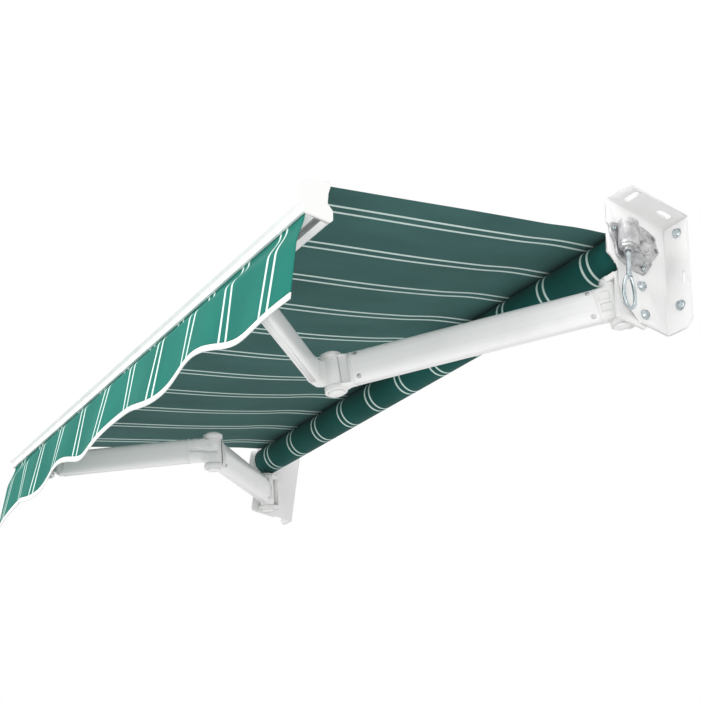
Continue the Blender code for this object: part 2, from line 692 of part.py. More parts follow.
def shoulder_knuckle():
    """Casting at the rear arm's shoulder end: a ribbed hub between the mount's lugs."""
    seen = LINK.plan(LINK.shoulder, LINK.rear)
    half = SHOULDER_HUB_HEIGHT / 2
    body = cylinder("shoulder_hub", SHOULDER_HUB_RADIUS, -half, half, seen)
    neck = rectangle(0, -REAR_TUBE_WIDTH / 2 + 1 * MM, SHOULDER_SEAM - SEAM_FLANGE / 2,
                     REAR_TUBE_WIDTH / 2 - 1 * MM)
    join(body, prism("shoulder_neck", [neck], -REAR_TUBE_HEIGHT / 2 + 3 * MM,
                     REAR_TUBE_HEIGHT / 2 - 3 * MM, seen))
    end = LINK.section(LINK.shoulder + SHOULDER_SEAM * LINK.rear, LINK.rear)
    join(body, settle(tube_plug("shoulder_plug", REAR_TUBE_WIDTH, REAR_TUBE_HEIGHT, end, 1)))
    for number, height in enumerate((-19 * MM, 0, 19 * MM)):
        pocket = box(f"shoulder_pocket_{number}",
                     (SHOULDER_HUB_RADIUS * 0.1, REAR_TUBE_WIDTH / 2 - 4 * MM, height - 6 * MM),
                     (SHOULDER_SEAM - SEAM_FLANGE - 3 * MM, REAR_TUBE_WIDTH, height + 6 * MM), seen)
        cut(body, pocket)
    return cut(body, cylinder("shoulder_bore", PIN_RADIUS + PIN_GAP, -half - PLATE, half + PLATE, seen, 12))


def elbow_yoke():
    """Casting at the rear arm's elbow end: two lugs above and below the front arm's hub."""
    back = LINK.plan(LINK.elbow, -LINK.rear)
    half = ELBOW_HUB_HEIGHT / 2 + LUG_GAP
    top = half + ELBOW_LUG
    web_start = ELBOW_HUB_RADIUS + WEB_GAP
    width = REAR_TUBE_WIDTH / 2 - 1 * MM
    web = rectangle(web_start, -width, ELBOW_REAR_SEAM - SEAM_FLANGE / 2, width)
    body = prism("yoke_web", [web], -half - 2 * MM, half + 2 * MM, back)
    lug = rounded([(0, -ELBOW_LUG_RADIUS, 0), (ELBOW_REAR_SEAM - SEAM_FLANGE / 2, -width, 0),
                   (ELBOW_REAR_SEAM - SEAM_FLANGE / 2, width, 0), (0, ELBOW_LUG_RADIUS, 0)])
    shoulder = REAR_TUBE_HEIGHT / 2
    for number, (low, high) in enumerate(((half, top), (-top, -half))):
        join(body, prism(f"yoke_lug_{number}", [lug], low, high, back),
             cylinder(f"yoke_boss_{number}", ELBOW_LUG_RADIUS, low, high, back))
    taper = box("yoke_trim", (ELBOW_REAR_SEAM - SEAM_FLANGE, -REAR_TUBE_WIDTH, shoulder),
                (ELBOW_REAR_SEAM + PLATE, REAR_TUBE_WIDTH, top + PLATE), back)
    cut(body, taper)
    end = LINK.section(LINK.elbow - ELBOW_REAR_SEAM * LINK.rear, LINK.rear)
    join(body, settle(tube_plug("yoke_plug", REAR_TUBE_WIDTH, REAR_TUBE_HEIGHT, end, -1)))
    return cut(body, cylinder("yoke_bore", PIN_RADIUS + PIN_GAP, -top - PLATE, top + PLATE, back, 12))


def elbow_pin():
    """Pin of the elbow pivot."""
    seen = LINK.plan(LINK.elbow, LINK.rear)
    half = ELBOW_HUB_HEIGHT / 2 + LUG_GAP + ELBOW_LUG
    return headed_pin("elbow_pin", seen, half, PIN_RADIUS, PIN_HEAD_RADIUS, PIN_HEAD_HEIGHT)


def arm_spring():
    """Tension spring inside the rear tube, with a rod that runs on to the elbow."""
    start = LINK.shoulder + (SHOULDER_SEAM + ARM_PLUG + TOUCH_GAP + SPRING_HOOK) * LINK.rear
    rod_end = (REAR_LENGTH - SHOULDER_SEAM - ELBOW_REAR_SEAM - 2 * (ARM_PLUG + TOUCH_GAP)
               - SPRING_HOOK)
    matrix = LINK.section(start, LINK.rear)
    curve = bpy.data.curves.new("arm_spring", "CURVE")
    curve.dimensions = "3D"
    curve.bevel_depth = SPRING_WIRE
    curve.bevel_resolution = 0
    curve.use_fill_caps = True
    spline = curve.splines.new("POLY")
    per_turn = 6
    count = SPRING_TURNS * per_turn
    points = [(0, 0, -SPRING_HOOK), (0, 0, -SPRING_HOOK / 3)]
    for i in range(count + 1):
        angle = 2 * math.pi * i / per_turn
        points.append((SPRING_RADIUS * math.cos(angle), SPRING_RADIUS * math.sin(angle),
                       SPRING_LENGTH * i / count))
    points += [(0, 0, SPRING_LENGTH + SPRING_HOOK / 3), (0, 0, rod_end)]
    spline.points.add(len(points) - 1)
    for point, place in zip(spline.points, points):
        point.co = (*place, 1)
    drawn = bpy.data.objects.new("arm_spring", curve)
    drawn.matrix_world = matrix
    bpy.context.scene.collection.objects.link(drawn)
    return evaluated_mesh(drawn, "arm_spring")


def front_tube():
    """Oval tube of the front arm, set forward of its pivot line so that the arms fold flat."""
    matrix = LINK.section(LINK.front_tube_start, LINK.front_tube)
    return tube("front_tube", FRONT_TUBE_WIDTH, FRONT_TUBE_HEIGHT, LINK.front_tube_length, matrix)


def elbow_knuckle():
    """Casting at the front arm's elbow end: a hub, a cranked neck and a cable groove."""
    seen = LINK.plan(LINK.elbow, LINK.front)
    half = ELBOW_HUB_HEIGHT / 2
    body = cylinder("elbow_hub", ELBOW_HUB_RADIUS, -half, half, seen)
    inner = FRONT_OFFSET_ELBOW - FRONT_TUBE_WIDTH / 2 + 1 * MM
    outer = FRONT_OFFSET_ELBOW + FRONT_TUBE_WIDTH / 2 - 1 * MM
    end = ELBOW_FRONT_SEAM - SEAM_FLANGE / 2
    neck = rounded([
        (-ELBOW_HUB_RADIUS * 0.35, -ELBOW_HUB_RADIUS * 0.92, 0), (16 * MM, -outer + 4 * MM, 18 * MM),
        (end, -outer, 0), (end, -inner, 0), (ELBOW_HUB_RADIUS * 0.72, -ELBOW_HUB_RADIUS * 0.68, 0),
        (0, 0, 0),
    ])
    join(body, prism("elbow_neck", [neck], -FRONT_TUBE_HEIGHT / 2 + 2 * MM,
                     FRONT_TUBE_HEIGHT / 2 - 2 * MM, seen))
    section = LINK.section(LINK.front_tube_start, LINK.front_tube)
    join(body, settle(tube_plug("elbow_plug", FRONT_TUBE_WIDTH, FRONT_TUBE_HEIGHT, section, 1)))
    groove = box("elbow_groove", (-ELBOW_HUB_RADIUS - PLATE, -outer - PLATE, -4 * MM),
                 (end - SEAM_FLANGE, -outer + 7 * MM, 4 * MM), seen)
    ring = cylinder("elbow_ring_cut", ELBOW_HUB_RADIUS + PLATE, -4 * MM, 4 * MM, seen)
    core = cylinder("elbow_ring_core", ELBOW_HUB_RADIUS - 4 * MM, -6 * MM, 6 * MM, seen)
    keep = box("elbow_ring_keep", (0, -ELBOW_HUB_RADIUS * 0.6, -5 * MM),
               (2 * ELBOW_HUB_RADIUS, 2 * ELBOW_HUB_RADIUS, 5 * MM), seen)
    cut(body, groove, settle(cut(ring, core, keep)))
    return cut(body, cylinder("elbow_bore", PIN_RADIUS + PIN_GAP, -half - PLATE, half + PLATE, seen, 12))


def tip_knuckle():
    """Casting at the front arm's tip, carried by the clevis under the front bar."""
    seen = LINK.plan(LINK.tip, -LINK.front)
    half = TIP_HUB_HEIGHT / 2
    body = cylinder("tip_hub", TIP_HUB_RADIUS, -half, half, seen)
    offset = FRONT_OFFSET_TIP
    reach = FRONT_TUBE_WIDTH / 2 - 1 * MM
    end = TIP_SEAM - SEAM_FLANGE / 2
    neck = rounded([(0, -TIP_HUB_RADIUS * 0.9, 0), (end, offset - reach, 0), (end, offset + reach, 0),
                    (0, TIP_HUB_RADIUS * 0.98, 0)])
    join(body, prism("tip_neck", [neck], -half, half, seen))
    block = rounded([(end - 16 * MM, offset - reach, 0), (end, offset - reach, 0),
                     (end, offset + reach, 0), (end - 16 * MM, offset + reach, 0)])
    join(body, prism("tip_block", [block], -FRONT_TUBE_HEIGHT / 2 + 3 * MM,
                     FRONT_TUBE_HEIGHT / 2 - 3 * MM, seen))
    start = LINK.front_tube_start + LINK.front_tube_length * LINK.front_tube
    section = LINK.section(start, LINK.front_tube)
    join(body, settle(tube_plug("tip_plug", FRONT_TUBE_WIDTH, FRONT_TUBE_HEIGHT, section, -1)))
    bore = TIP_PIN_RADIUS + OPEN_PIVOT_GAP
    return cut(body, cylinder("tip_bore", bore, -half - PLATE, half + PLATE, seen, 12))


def bar_outline():
    """Outer outline of the front bar, in metres from its own origin."""
    return rounded(scaled(BAR_OUTLINE, MM))


def bar_plane(x=0.0):
    """Drawing plane across the front bar."""
    return plane((0, 1, 0), (0, 0, 1), BAR_ORIGIN + Vector((x, 0, 0)))


def canopy_slope():
    """Direction of the cloth from the bar's groove up to the roll, and where it leaves the roll."""
    groove = BAR_ORIGIN + Vector((0, CANOPY_GROOVE[0], CANOPY_GROOVE[1])) - AXIS
    distance = math.hypot(groove.y, groove.z)
    tangent_radius = ROLL_RADIUS + TOUCH_GAP + CLOTH_THICKNESS / 2
    slope = math.atan2(-groove.z, -groove.y) + math.asin(tangent_radius / distance)
    leaves = AXIS + tangent_radius * Vector((0, -math.sin(slope), math.cos(slope)))
    return slope, leaves


def front_bar():
    """Extruded front bar: a hollow chamber, two rod grooves and a clamp channel below."""
    body = prism("front_bar", [bar_outline(), rounded(scaled(BAR_HOLLOW, MM))], -BAR_HALF, BAR_HALF,
                 bar_plane())
    run = BAR_HALF + PLATE
    slope, _ = canopy_slope()
    mouth = plane((0, math.cos(slope), math.sin(slope)), (0, -math.sin(slope), math.cos(slope)),
                  BAR_ORIGIN + Vector((0, *CANOPY_GROOVE)))
    cut(body, prism("canopy_mouth", [rectangle(0, -ROD_MOUTH / 2, 20 * MM, ROD_MOUTH / 2)], -run, run, mouth),
        cylinder("canopy_groove", ROD_GROOVE_RADIUS, -run, run, mouth, 20))
    below = bar_plane() @ Matrix.Translation((*VALANCE_GROOVE, 0))
    valance_mouth = rectangle(-ROD_MOUTH / 2, -20 * MM, ROD_MOUTH / 2, 0)
    cut(body, prism("valance_mouth", [valance_mouth], -run, run, below),
        cylinder("valance_groove", ROD_GROOVE_RADIUS, -run, run, below, 20))
    left, right, low, high = CLAMP_CHANNEL
    channel = [rectangle(left, low, right, high), rectangle(CLAMP_MOUTH[0], BAR_BOTTOM - PLATE,
                                                            CLAMP_MOUTH[1], low + PLATE / 2)]
    return cut(body, *[prism(f"clamp_channel_{i}", [loop], -run, run, bar_plane())
                       for i, loop in enumerate(channel)])


def bar_cap():
    """End cap of the front bar, with a tongue that plugs its chamber."""
    grown = rounded([(u * 1.015, v * 1.015, r) for u, v, r in scaled(BAR_OUTLINE, MM)])
    face = BAR_HALF + TOUCH_GAP
    body = prism("bar_cap", [grown], face, face + BAR_CAP, bar_plane())
    tongue = rounded([(u * 0.93 - 0.4 * MM, v * 0.93, r) for u, v, r in scaled(BAR_HOLLOW, MM)])
    return join(body, prism("cap_tongue", [tongue], face - BAR_CAP_TONGUE, face + BAR_CAP / 2, bar_plane()))


def groove_rod(name, groove):
    """Plastic rod sewn into the edge of a cloth and slid into the bar's groove."""
    matrix = bar_plane() @ Matrix.Translation((*groove, 0))
    return cylinder(name, ROD_RADIUS, -CLOTH_HALF, CLOTH_HALF, matrix, 12)


def clevis():
    """Clevis under the front bar: a clamp block in the channel and two lugs for the arm's tip."""
    seen = LINK.plan(LINK.tip, LINK.across)
    half = TIP_HUB_HEIGHT / 2 + OPEN_PIVOT_GAP
    top = half + TIP_LUG
    radius = TIP_HUB_RADIUS + 1 * MM
    web_start = TIP_HUB_RADIUS + WEB_GAP
    web_end = web_start + TIP_LUG
    web = rectangle(web_start, -radius, web_end, radius)
    body = prism("clevis_web", [web], -top, top, seen)
    side = radius - 0.5 * MM
    lug = rounded([(0, -side, 0), (web_end - 1 * MM, -side, 0), (web_end - 1 * MM, side, 0), (0, side, 0)])
    for number, (low, high) in enumerate(((half, top), (-top, -half))):
        join(body, prism(f"clevis_lug_{number}", [lug], low * 0.99, high * 0.99, seen),
             cylinder(f"clevis_boss_{number}", radius, low, high, seen))
    under = BAR_BOTTOM - TOUCH_GAP
    base_low = (LINK.tip.x - CLEVIS_LENGTH / 2 + 8 * MM, BAR_ORIGIN.y - 9 * MM,
                BAR_ORIGIN.z + under - CLEVIS_BASE)
    base_high = (LINK.tip.x + CLEVIS_LENGTH / 2 + 8 * MM, BAR_ORIGIN.y + 26 * MM, BAR_ORIGIN.z + under)
    join(body, box("clevis_base", base_low, base_high))
    post_top = BAR_ORIGIN.z + under - CLEVIS_BASE / 2
    join(body, box("clevis_post", (LINK.tip.x + web_start - 2 * MM, LINK.tip.y - radius * 0.85,
                                   LINK.tip.z + top - TIP_LUG / 2),
                   (LINK.tip.x + web_end - 3 * MM, LINK.tip.y + radius * 0.85, post_top)))
    left, right, low, high = CLAMP_CHANNEL
    neck = rectangle(CLAMP_MOUTH[0] + RUNNING_GAP, under - PLATE / 2, CLAMP_MOUTH[1] - RUNNING_GAP,
                     low + PLATE / 2)
    head = rectangle(left + RUNNING_GAP, low + TOUCH_GAP, right - RUNNING_GAP, high - 4 * MM)
    block = [LINK.tip.x + 8 * MM - CLAMP_BLOCK_LENGTH / 2, LINK.tip.x + 8 * MM + CLAMP_BLOCK_LENGTH / 2]
    join(body, prism("clevis_neck", [neck], *block, bar_plane()),
         prism("clevis_clamp", [head], block[0] + 0.5 * MM, block[1] - 0.5 * MM, bar_plane()))
    return cut(body, cylinder("clevis_bore", TIP_PIN_RADIUS + PIN_GAP, -top - PLATE, top + PLATE, seen, 12))


def tip_pin():
    """Pin of the arm's tip."""
    seen = LINK.plan(LINK.tip, LINK.across)
    half = TIP_HUB_HEIGHT / 2 + OPEN_PIVOT_GAP + TIP_LUG
    return headed_pin("tip_pin", seen, half, TIP_PIN_RADIUS, TIP_HEAD_RADIUS, TIP_HEAD_HEIGHT, 12)


def roller_tube():
    """Steel roller tube, open at both ends."""
    inner = circle(ROLLER_RADIUS - ROLLER_WALL, count=36)
    return prism("roller_tube", [circle(ROLLER_RADIUS, count=36), inner], -CLOTH_HALF, CLOTH_HALF,
                 plane_x())


def cloth_roll():
    """The turns of cloth that stay on the roller when the awning is run out."""
    points = 36
    outer = circle(ROLL_RADIUS, count=points)
    inner = circle(ROLLER_RADIUS + TOUCH_GAP, count=points)
    return prism("cloth_roll", [outer, inner], -CLOTH_HALF, CLOTH_HALF, plane_x())


def roller_plug(name, shaft_radius, shaft_end, sides):
    """End plug of the roller, turned in one piece with its shaft."""
    bore = ROLLER_RADIUS - ROLLER_WALL - RUNNING_GAP
    face = CLOTH_HALF + TOUCH_GAP
    profile = [(0, shaft_end), (shaft_radius, shaft_end), (shaft_radius, face + PLUG_FLANGE),
               (ROLLER_RADIUS, face + PLUG_FLANGE), (ROLLER_RADIUS, face), (bore, face),
               (bore, CLOTH_HALF - PLUG_DEPTH), (0, CLOTH_HALF - PLUG_DEPTH)]
    return turned(name, profile, plane_x(), sides)


def idler_bush(shaft_radius):
    """Flanged bearing bush in a bracket's hole."""
    inner = shaft_radius + PIN_GAP
    start = PLATE_INNER_X + TOUCH_GAP
    flange = PLATE_OUTER_X + TOUCH_GAP
    end = flange + BUSH_FLANGE
    profile = [(inner, end), (BUSH_FLANGE_RADIUS, end), (BUSH_FLANGE_RADIUS, flange), (BUSH_RADIUS, flange),
               (BUSH_RADIUS, start), (inner, start), (inner, end)]
    return turned("idler_bush", profile, plane_x())


def gearbox_housing():
    """Die-cast gearbox body: a drum round the roller's axis and an upright worm housing."""
    base = PLATE_OUTER_X + TOUCH_GAP
    face = base + GEARBOX_DEPTH
    body = cylinder("gearbox_drum", GEARBOX_RADIUS, base, face, plane_x(), 40)
    rim = GEARBOX_FLANGE_RADIUS
    lobes = rounded([
        (-rim + 4 * MM, -26 * MM, 10 * MM), (0, -rim, 12 * MM), (39 * MM, -rim + 3 * MM, 10 * MM),
        (rim + 6 * MM, 0, 14 * MM), (39 * MM, rim, 10 * MM), (-rim - 3 * MM, rim - 3 * MM, 10 * MM),
    ])
    join(body, prism("gearbox_flange", [lobes], base, base + GEARBOX_FLANGE, plane_x()))
    worm = worm_plane()
    join(body, cylinder("worm_housing", WORM_HOUSING_RADIUS, WORM_BOTTOM, WORM_TOP, worm))
    join(body, cylinder("worm_collar", WORM_HOUSING_RADIUS + 3 * MM, WORM_BOTTOM - 4 * MM,
                        WORM_BOTTOM + 6 * MM, worm, 6))
    join(body, cylinder("worm_nozzle", NOZZLE_RADIUS, WORM_BOTTOM - NOZZLE_LENGTH, WORM_BOTTOM, worm, 24))
    cut(body, cylinder("stem_bore", STEM_RADIUS + PIN_GAP, WORM_BOTTOM - NOZZLE_LENGTH - PLATE,
                       WORM_BOTTOM + 14 * MM, worm, 20))
    recess = plane_x() @ Matrix.Translation((20 * MM, 16 * MM, 0))
    cut(body, cylinder("gearbox_recess", 9 * MM, face - 5 * MM, face + PLATE, recess, 24))
    cut(body, cylinder("output_bore", SHAFT_RADIUS + PIN_GAP, base - PLATE, base + 20 * MM, plane_x(), 24))
    return body


def worm_plane():
    """Drawing plane across the worm and its stem, along +Z."""
    return plane((1, 0, 0), (0, 1, 0), AXIS + Vector((PLATE_OUTER_X + WORM_OUT, -WORM_FORWARD, 0)))


def gearbox_cover():
    """Round cover on the gearbox face, with a raised rim."""
    face = PLATE_OUTER_X + 2 * TOUCH_GAP + GEARBOX_DEPTH
    centre = plane_x() @ Matrix.Translation((14 * MM, -2 * MM, 0))
    body = cylinder("gearbox_cover", 19 * MM, face, face + GEARBOX_COVER, centre, 6)
    return cut(body, cylinder("cover_dish", 14 * MM, face + GEARBOX_COVER / 2, face + GEARBOX_COVER + PLATE,
                              centre, 6))


def gearbox_screw(name, place):
    """Socket screw that holds the gearbox's flange to the bracket."""
    base = PLATE_OUTER_X + 2 * TOUCH_GAP + GEARBOX_FLANGE
    centre = plane_x() @ Matrix.Translation((*place, 0))
    screw = cylinder(name, 4.5 * MM, base, base + 3.5 * MM, centre, 16)
    socket = cylinder(f"{name}_socket", 2.2 * MM, base + 2 * MM, base + PLATE, centre, 6)
    return cut(screw, socket)


def crank_eye():
    """Worm stem and its long eye, which the crank's hook takes."""
    bottom = WORM_BOTTOM - STEM_LENGTH
    half_width = EYE_WIDTH / 2
    straight = EYE_HEIGHT / 2 - half_width
    turn = Matrix.Rotation(EYE_TURN, 4, "Z")
    centre = worm_plane() @ Matrix.Translation((0, 0, bottom - EYE_HEIGHT / 2)) @ turn
    curve = bpy.data.curves.new("crank_eye", "CURVE")
    curve.dimensions = "3D"
    curve.bevel_depth = EYE_WIRE_RADIUS
    curve.bevel_resolution = 2
    spline = curve.splines.new("POLY")
    steps = 9
    points = []
    for sign in (1, -1):
        for i in range(steps + 1):
            angle = math.pi * i / steps
            points.append((half_width * sign * math.cos(angle), 0,
                           sign * (straight + half_width * math.sin(angle))))
    spline.points.add(len(points) - 1)
    for point, place in zip(spline.points, points):
        point.co = (*place, 1)
    spline.use_cyclic_u = True
    drawn = bpy.data.objects.new("crank_eye", curve)
    drawn.matrix_world = centre
    bpy.context.scene.collection.objects.link(drawn)
    loop = evaluated_mesh(drawn, "crank_eye")
    return join(loop, cylinder("eye_stem", STEM_RADIUS, bottom - EYE_WIRE_RADIUS / 2, WORM_BOTTOM + 12 * MM,
                               worm_plane(), 20))


def sheet(name, width, across, along, place, thickness):
    """A cloth sheet: a grid whose points place(x, share) gives, thickened by Solidify."""
    mesh = bpy.data.meshes.new(name)
    shape = bmesh.new()
    bmesh.ops.create_grid(shape, x_segments=across, y_segments=along, size=0.5)
    for vertex in shape.verts:
        vertex.co = place(vertex.co.x * width, vertex.co.y + 0.5)
    shape.to_mesh(mesh)
    shape.free()
    made = bpy.data.objects.new(name, mesh)
    bpy.context.scene.collection.objects.link(made)
    solid = made.modifiers.new("cloth", "SOLIDIFY")
    solid.thickness = thickness
    solid.offset = 0
    return made


def canopy():
    """Main cloth, stretched from the roll to the bar's upper groove with a slight sag."""
    slope, leaves = canopy_slope()
    groove = BAR_ORIGIN + Vector((0, *CANOPY_GROOVE))
    front = groove + (ROD_RADIUS + TOUCH_GAP) * Vector((0, math.cos(slope), math.sin(slope)))
    down = Vector((0, math.sin(slope), -math.cos(slope)))

    def place(x, share):
        sag = CANOPY_SAG * 4 * share * (1 - share) * math.cos(math.pi * x / CLOTH_WIDTH)
        return leaves.lerp(front, share) + down * sag + Vector((x, 0, 0))

    return sheet("canopy", CLOTH_WIDTH, 12, 6, place, CLOTH_THICKNESS)


def hem_height(x):
    """Height of the valance's wavy hem above its mean, at x."""
    return HEM_WAVE * math.cos(2 * math.pi * (x - HEM_SHIFT) / HEM_PERIOD)


def valance_point(x, share):
    """Point of the valance at x, from share 0 in the groove to share 1 at the hem."""
    top = BAR_ORIGIN + Vector((x, VALANCE_GROOVE[0], VALANCE_GROOVE[1] - ROD_RADIUS - TOUCH_GAP))
    drop = (VALANCE_DROP - hem_height(x)) * share
    loose = max(0.0, (drop - 12 * MM) / VALANCE_DROP)
    flute = FLUTE_DEPTH * loose * (1 + math.cos(2 * math.pi * x / FLUTE_PERIOD))
    return top + Vector((0, -flute, -drop))


def valance():
    """Front cloth, hung from the bar's lower groove, with a wavy hem and soft flutes."""
    return sheet("valance", CLOTH_WIDTH, 72, 3, valance_point, CLOTH_THICKNESS)


def valance_binding():
    """White tape round the valance's hem."""

    def place(x, share):
        hem = valance_point(x, 1.0)
        return hem + Vector((0, 0, -TOUCH_GAP - BINDING_HEIGHT * share))

    return sheet("valance_binding", CLOTH_WIDTH, 72, 1, place, BINDING_THICKNESS)


def build():
    """Model every piece of the awning."""
    clear_scene()
    pair(bracket(), "bracket", WHITE_COAT)
    for place, height in zip(("upper", "lower"), WALL_BOLT_HEIGHTS):
        pair(wall_bolt(f"{place}_wall_bolt", height), f"wall_bolt_{place}", ZINC)
    pair(shoulder_mount(), "shoulder_mount", CAST_WHITE)
    for place, spot in zip(("upper", "lower"), mount_bolt_places()):
        pair(mount_bolt(f"{place}_mount_bolt", spot), f"mount_bolt_{place}", ZINC)
    pair(shoulder_pin(), "shoulder_pin", WHITE_COAT)
    pair(rear_tube(), "rear_tube", WHITE_EXTRUSION)
    pair(shoulder_knuckle(), "shoulder_knuckle", CAST_WHITE)
    pair(elbow_yoke(), "elbow_yoke", CAST_WHITE)
    pair(elbow_pin(), "elbow_pin", WHITE_COAT)
    pair(arm_spring(), "arm_spring", SPRING_STEEL)
    pair(front_tube(), "front_tube", WHITE_EXTRUSION)
    pair(elbow_knuckle(), "elbow_knuckle", CAST_WHITE)
    pair(tip_knuckle(), "tip_knuckle", CAST_WHITE)
    pair(clevis(), "bar_clevis", CAST_WHITE)
    pair(tip_pin(), "tip_pin", ZINC)
    part(front_bar(), "front_bar", WHITE_EXTRUSION)
    pair(bar_cap(), "bar_cap", WHITE_PLASTIC)
    part(groove_rod("canopy_rod", CANOPY_GROOVE), "canopy_rod", NYLON)
    part(groove_rod("valance_rod", VALANCE_GROOVE), "valance_rod", NYLON)
    part(valance(), "valance", VALANCE_GREEN)
    part(valance_binding(), "valance_binding", BINDING_WHITE)
    part(roller_tube(), "roller_tube", ZINC)
    part(cloth_roll(), "cloth_roll", CANOPY_GREEN)
    gear_end = PLATE_OUTER_X + 18 * MM
    part(roller_plug("drive_plug", SHAFT_RADIUS, gear_end, 24), "drive_plug", ZINC)
    idler = part(roller_plug("idler_plug_pattern", IDLER_RADIUS, PLATE_OUTER_X + 6 * MM, 24),
                 "idler_plug_pattern", ZINC)
    mirrored(idler, "idler_plug", ZINC)
    bpy.data.objects.remove(idler, do_unlink=True)
    bush = part(idler_bush(IDLER_RADIUS), "idler_bush_pattern", NYLON)
    mirrored(bush, "idler_bush", NYLON)
    bpy.data.objects.remove(bush, do_unlink=True)
    part(gearbox_housing(), "gearbox_housing", DIE_CAST)
    part(gearbox_cover(), "gearbox_cover", DIE_CAST)
    for number, spot in enumerate(GEARBOX_SCREW_PLACES, 1):
        part(gearbox_screw(f"screw_{number}", spot), f"gearbox_screw_{number}", ZINC)
    part(crank_eye(), "crank_eye", ZINC)
    part(canopy(), "canopy", CANOPY_GREEN)


build()
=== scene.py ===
"""Dresses the folding-arm awning: striped cloth, coated and cast metal, light and camera.

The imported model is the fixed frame. Hard pieces are smoothed copies of its solids or finer
castings in their place, and the cloth pieces are modelled here as sheets.
"""
from __future__ import annotations

import json
import logging
import math
from contextlib import contextmanager
from dataclasses import dataclass
from enum import Enum
from itertools import product
from typing import Callable, Iterator, Mapping, Sequence, Union

import bmesh
import bpy
import numpy as np
from mathutils import Matrix, Vector

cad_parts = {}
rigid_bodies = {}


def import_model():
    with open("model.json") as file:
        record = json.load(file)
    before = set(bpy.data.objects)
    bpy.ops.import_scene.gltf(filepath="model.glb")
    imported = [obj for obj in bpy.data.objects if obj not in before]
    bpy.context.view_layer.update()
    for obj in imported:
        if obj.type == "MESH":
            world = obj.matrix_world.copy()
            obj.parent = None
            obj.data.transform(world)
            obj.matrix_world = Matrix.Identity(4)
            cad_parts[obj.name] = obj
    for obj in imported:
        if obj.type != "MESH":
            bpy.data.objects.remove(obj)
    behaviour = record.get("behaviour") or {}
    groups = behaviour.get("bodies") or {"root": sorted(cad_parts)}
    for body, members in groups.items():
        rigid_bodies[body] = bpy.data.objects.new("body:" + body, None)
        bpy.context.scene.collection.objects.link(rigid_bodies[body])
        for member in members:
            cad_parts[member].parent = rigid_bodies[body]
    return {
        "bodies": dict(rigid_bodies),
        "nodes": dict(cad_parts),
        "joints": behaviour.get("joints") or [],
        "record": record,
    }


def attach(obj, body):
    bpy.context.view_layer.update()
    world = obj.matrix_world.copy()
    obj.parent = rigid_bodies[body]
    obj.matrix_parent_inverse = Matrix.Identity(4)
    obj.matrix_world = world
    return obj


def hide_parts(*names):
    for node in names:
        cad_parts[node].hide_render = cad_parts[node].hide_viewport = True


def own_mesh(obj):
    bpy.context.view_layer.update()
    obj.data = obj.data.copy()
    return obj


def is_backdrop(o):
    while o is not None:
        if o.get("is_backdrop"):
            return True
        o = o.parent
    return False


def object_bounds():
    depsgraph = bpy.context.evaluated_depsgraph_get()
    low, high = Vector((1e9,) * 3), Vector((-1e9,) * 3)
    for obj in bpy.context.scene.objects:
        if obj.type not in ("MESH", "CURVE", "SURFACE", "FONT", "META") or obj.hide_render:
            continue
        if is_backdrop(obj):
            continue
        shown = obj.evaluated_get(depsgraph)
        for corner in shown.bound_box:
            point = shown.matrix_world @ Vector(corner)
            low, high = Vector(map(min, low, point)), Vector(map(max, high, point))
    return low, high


LOG = logging.getLogger("awning")
MM = 0.001
# Edges that turn by more than these angles, in degrees, stay sharp.
SHARP = 34.0
SHARP_BOLT = 22.0
SHARP_CAST = 42.0

Colour = tuple[float, float, float]
Place = Callable[[np.ndarray, np.ndarray], np.ndarray]
Point = tuple[float, float, float]


def mm(*rows: Sequence[float]) -> list[tuple[float, ...]]:
    """Rows of millimetres, in metres."""
    return [tuple(value * MM for value in row) for row in rows]


class Field:
    """One output socket of a shader node, which takes part in Python arithmetic."""

    def __init__(self, recipe: Recipe, socket: bpy.types.NodeSocket) -> None:
        """Wrap a socket.

        Args:
            recipe: The node tree's builder.
            socket: The output socket.
        """
        self.recipe = recipe
        self.socket = socket

    def maths(self, operation: str, *others: Operand) -> Field:
        """Add a Math node on this value.

        Args:
            operation: The Math node's operation.
            others: The further inputs, as fields or numbers.

        Returns:
            The node's result.
        """
        inputs = dict(enumerate((self, *others)))
        return self.recipe.node("ShaderNodeMath", {"operation": operation}, inputs)

    def __add__(self, other: Operand) -> Field:
        """Sum, on either side."""
        return self.maths("ADD", other)

    __radd__ = __add__

    def __sub__(self, other: Operand) -> Field:
        """Difference."""
        return self.maths("SUBTRACT", other)

    def __rsub__(self, other: Operand) -> Field:
        """Difference from a number on the left."""
        return self.recipe.node("ShaderNodeMath", {"operation": "SUBTRACT"}, {0: other, 1: self})

    def __mul__(self, other: Operand) -> Field:
        """Product, on either side."""
        return self.maths("MULTIPLY", other)

    __rmul__ = __mul__

    def __truediv__(self, other: Operand) -> Field:
        """Quotient."""
        return self.maths("DIVIDE", other)

    def __abs__(self) -> Field:
        """Size without sign."""
        return self.maths("ABSOLUTE")

    def step(self, low: float, high: float) -> Field:
        """Rise smoothly from 0 at low to 1 at high.

        Args:
            low: The value where the result is 0.
            high: The value where it is 1.

        Returns:
            The eased share.
        """
        settings = {"interpolation_type": "SMOOTHSTEP"}
        inputs = {"Value": self, "From Min": low, "From Max": high, "To Min": 0.0, "To Max": 1.0}
        return self.recipe.node("ShaderNodeMapRange", settings, inputs)


Operand = Union[Field, float]


